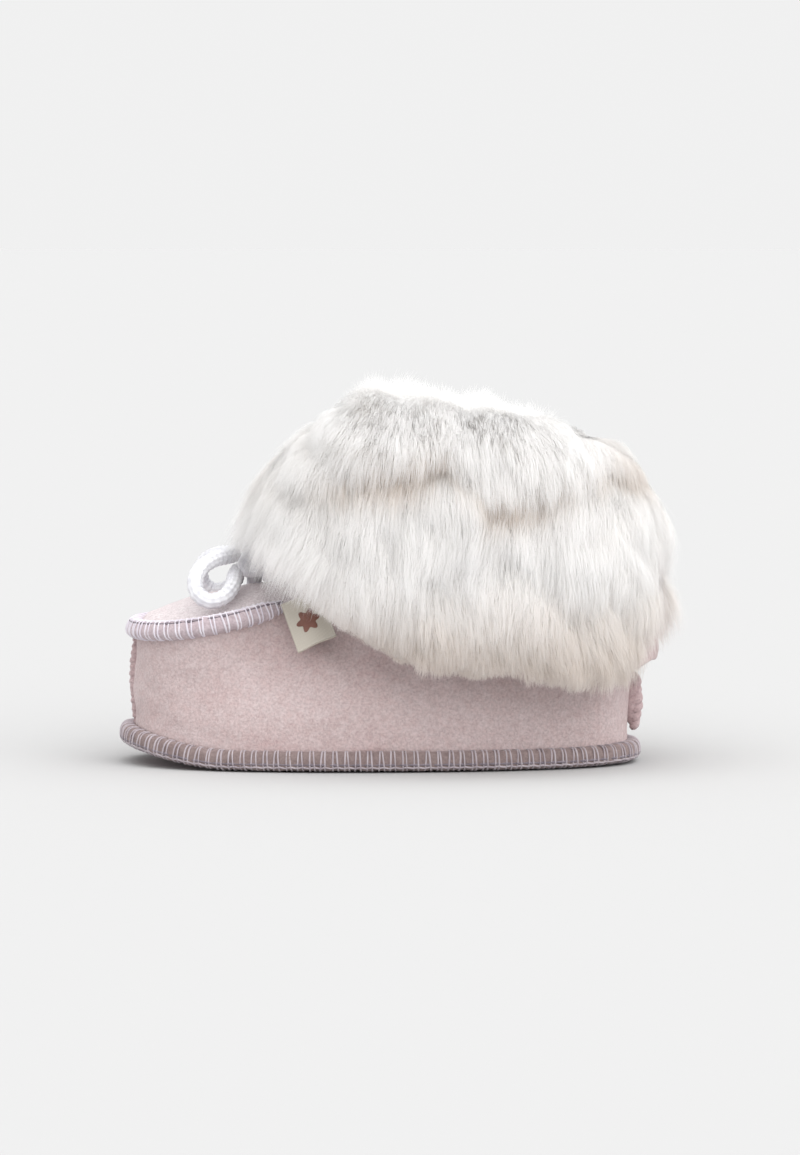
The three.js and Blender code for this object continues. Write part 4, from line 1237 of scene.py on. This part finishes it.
# Painted shade of each hair: beige in the creases and low on the cuff.
painted_shade = in_crease + shaded_low
turn = np.arctan2(-(roots[:, 1]), -(roots[:, 0] - COLLAR_MIDDLE))
order = np.argsort(turn)
for name, group in zip(WOOL_PIECES, np.array_split(order, len(WOOL_PIECES))):
    turned = np.where(facing_out[group] > -0.2, 1.0, -1.0)[:, None]
    raised = fullness[group][:, None]
    facing = unit(normals[group] * (1 - 0.7 * raised) + away[group] * turned * (0.5 + 0.8 * raised))
    locks = ribbons("wool", paths[group], facing, HAIR_WIDTH, 90, painted_shade[group])
    add_piece("long_wool_" + name, locks, long_wool)
    print("long_wool_" + name, "faces:", len(locks.polygons))

# %% [markdown]
# ## Wool lining
# Inside, the same sheepskin shows its wool short and felted by the foot. Each lining is its CAD
# pad with a lumpy surface, and short curled hairs where the opening lets it be seen.

# %% Linings
SHORT_HAIRS = {"insole_wool": 9000, "wall_wool_left": 9000, "wall_wool_right": 9000,
               "apron_wool": 2500, "tongue_wool": 2500}
TUFT_WIDTH = 0.26 * MM
PILE_TINT = 0.1


def foot_side(points, normals):
    """Picks the side of a lining that faces the middle of the foot."""
    inside = np.column_stack([np.clip(points[:, 0], -38 * MM, 38 * MM), np.zeros(len(points)),
                              np.full(len(points), 22 * MM)])
    return smoothstep(np.sum(unit(inside - points) * normals, axis=1), 0.25, 0.5)


for number, (node, count) in enumerate(SHORT_HAIRS.items()):
    pile = applied(cad_copy(node), ("SUBSURF", {"levels": 2}))
    points = read_points(pile)
    lumps = 0.45 * MM * rolling(points, 6 * MM, 200 + number)
    lumps += 0.2 * MM * rolling(points, 2.4 * MM, 210 + number)
    lumps *= foot_side(points, read_normals(pile))
    write_points(pile, points + read_normals(pile) * lumps[:, None])
    add_values(pile, along_hair=0.2, in_crease=PILE_TINT)
    add_piece(node + "_pile", pile, lining_wool, "bootie", [node])
    roots, normals = scatter(pile, count, 220 + number, foot_side)
    random = np.random.default_rng(230 + number)
    comb = unit(normals * 0.5 + random.normal(size=roots.shape) * 0.6)
    short = random.uniform(2.0, 4.5, count) * MM
    paths = hair_paths(roots, normals, comb, short, 0.9, 240 + number, 0.3 * MM)
    paths = lean_together(paths, roots, count // 14, 0.7, 250 + number, 1.0)
    tufts = ribbons("tufts", paths, normals, TUFT_WIDTH, 260 + number, np.full(count, PILE_TINT))
    add_piece(node + "_tufts", tufts, lining_wool)
print("lining pads:", len(SHORT_HAIRS))

# %% [markdown]
# ## Studio
# A product table is white paper under broad light. The world gives even light from everywhere,
# one large soft lamp above gives shape, and a weak one fills the heel. The floor's colour is chosen so that,
# lit by all of them, it has the same brightness as the world behind it, and no horizon shows.

# %% Studio
BACKDROP = 0.875
KEY_STRENGTH = 2.2
KEY_WAY = np.array([0.2, -0.45, 1.0])
FILL_STRENGTH = 0.8
FILL_WAY = np.array([0.75, -0.65, 0.45])
SOFTNESS = math.radians(95)
FLOOR_RADIUS = 30
FLOOR_SIDES = 96

world = bpy.data.worlds.new("studio")
world.use_nodes = True
world.node_tree.nodes["Background"].inputs["Color"].default_value = (1, 1, 1, 1)
world.node_tree.nodes["Background"].inputs["Strength"].default_value = BACKDROP
bpy.context.scene.world = world
bpy.context.scene.view_settings.view_transform = "Standard"

lamps_on_floor = 0
for lamp_name, strength, way in (("key", KEY_STRENGTH, KEY_WAY), ("fill", FILL_STRENGTH, FILL_WAY)):
    lamp_data = bpy.data.lights.new(lamp_name, "SUN")
    lamp_data.energy = strength
    lamp_data.angle = SOFTNESS
    lamp = placed(lamp_name, lamp_data)
    lamp.rotation_euler = Vector(way).to_track_quat("Z", "Y").to_euler()
    lamps_on_floor += strength * way[2] / np.linalg.norm(way) / math.pi
floor_white = BACKDROP / (BACKDROP + lamps_on_floor)
paper, paper_shader = new_material("paper_backdrop_matt")
set_inputs(paper, paper_shader, Base_Color=(floor_white, floor_white, floor_white, 1), Roughness=1.0,
           Specular_IOR_Level=0.0)
around = np.linspace(0, 2 * math.pi, FLOOR_SIDES, endpoint=False)
rim = np.stack([np.cos(around), np.sin(around), np.zeros(FLOOR_SIDES)], axis=-1) * FLOOR_RADIUS
floor_mesh = mesh_from("floor", rim, np.arange(FLOOR_SIDES)[None])
floor_mesh.materials.append(paper)
placed("floor", floor_mesh)
print("floor albedo:", round(float(floor_white), 3))
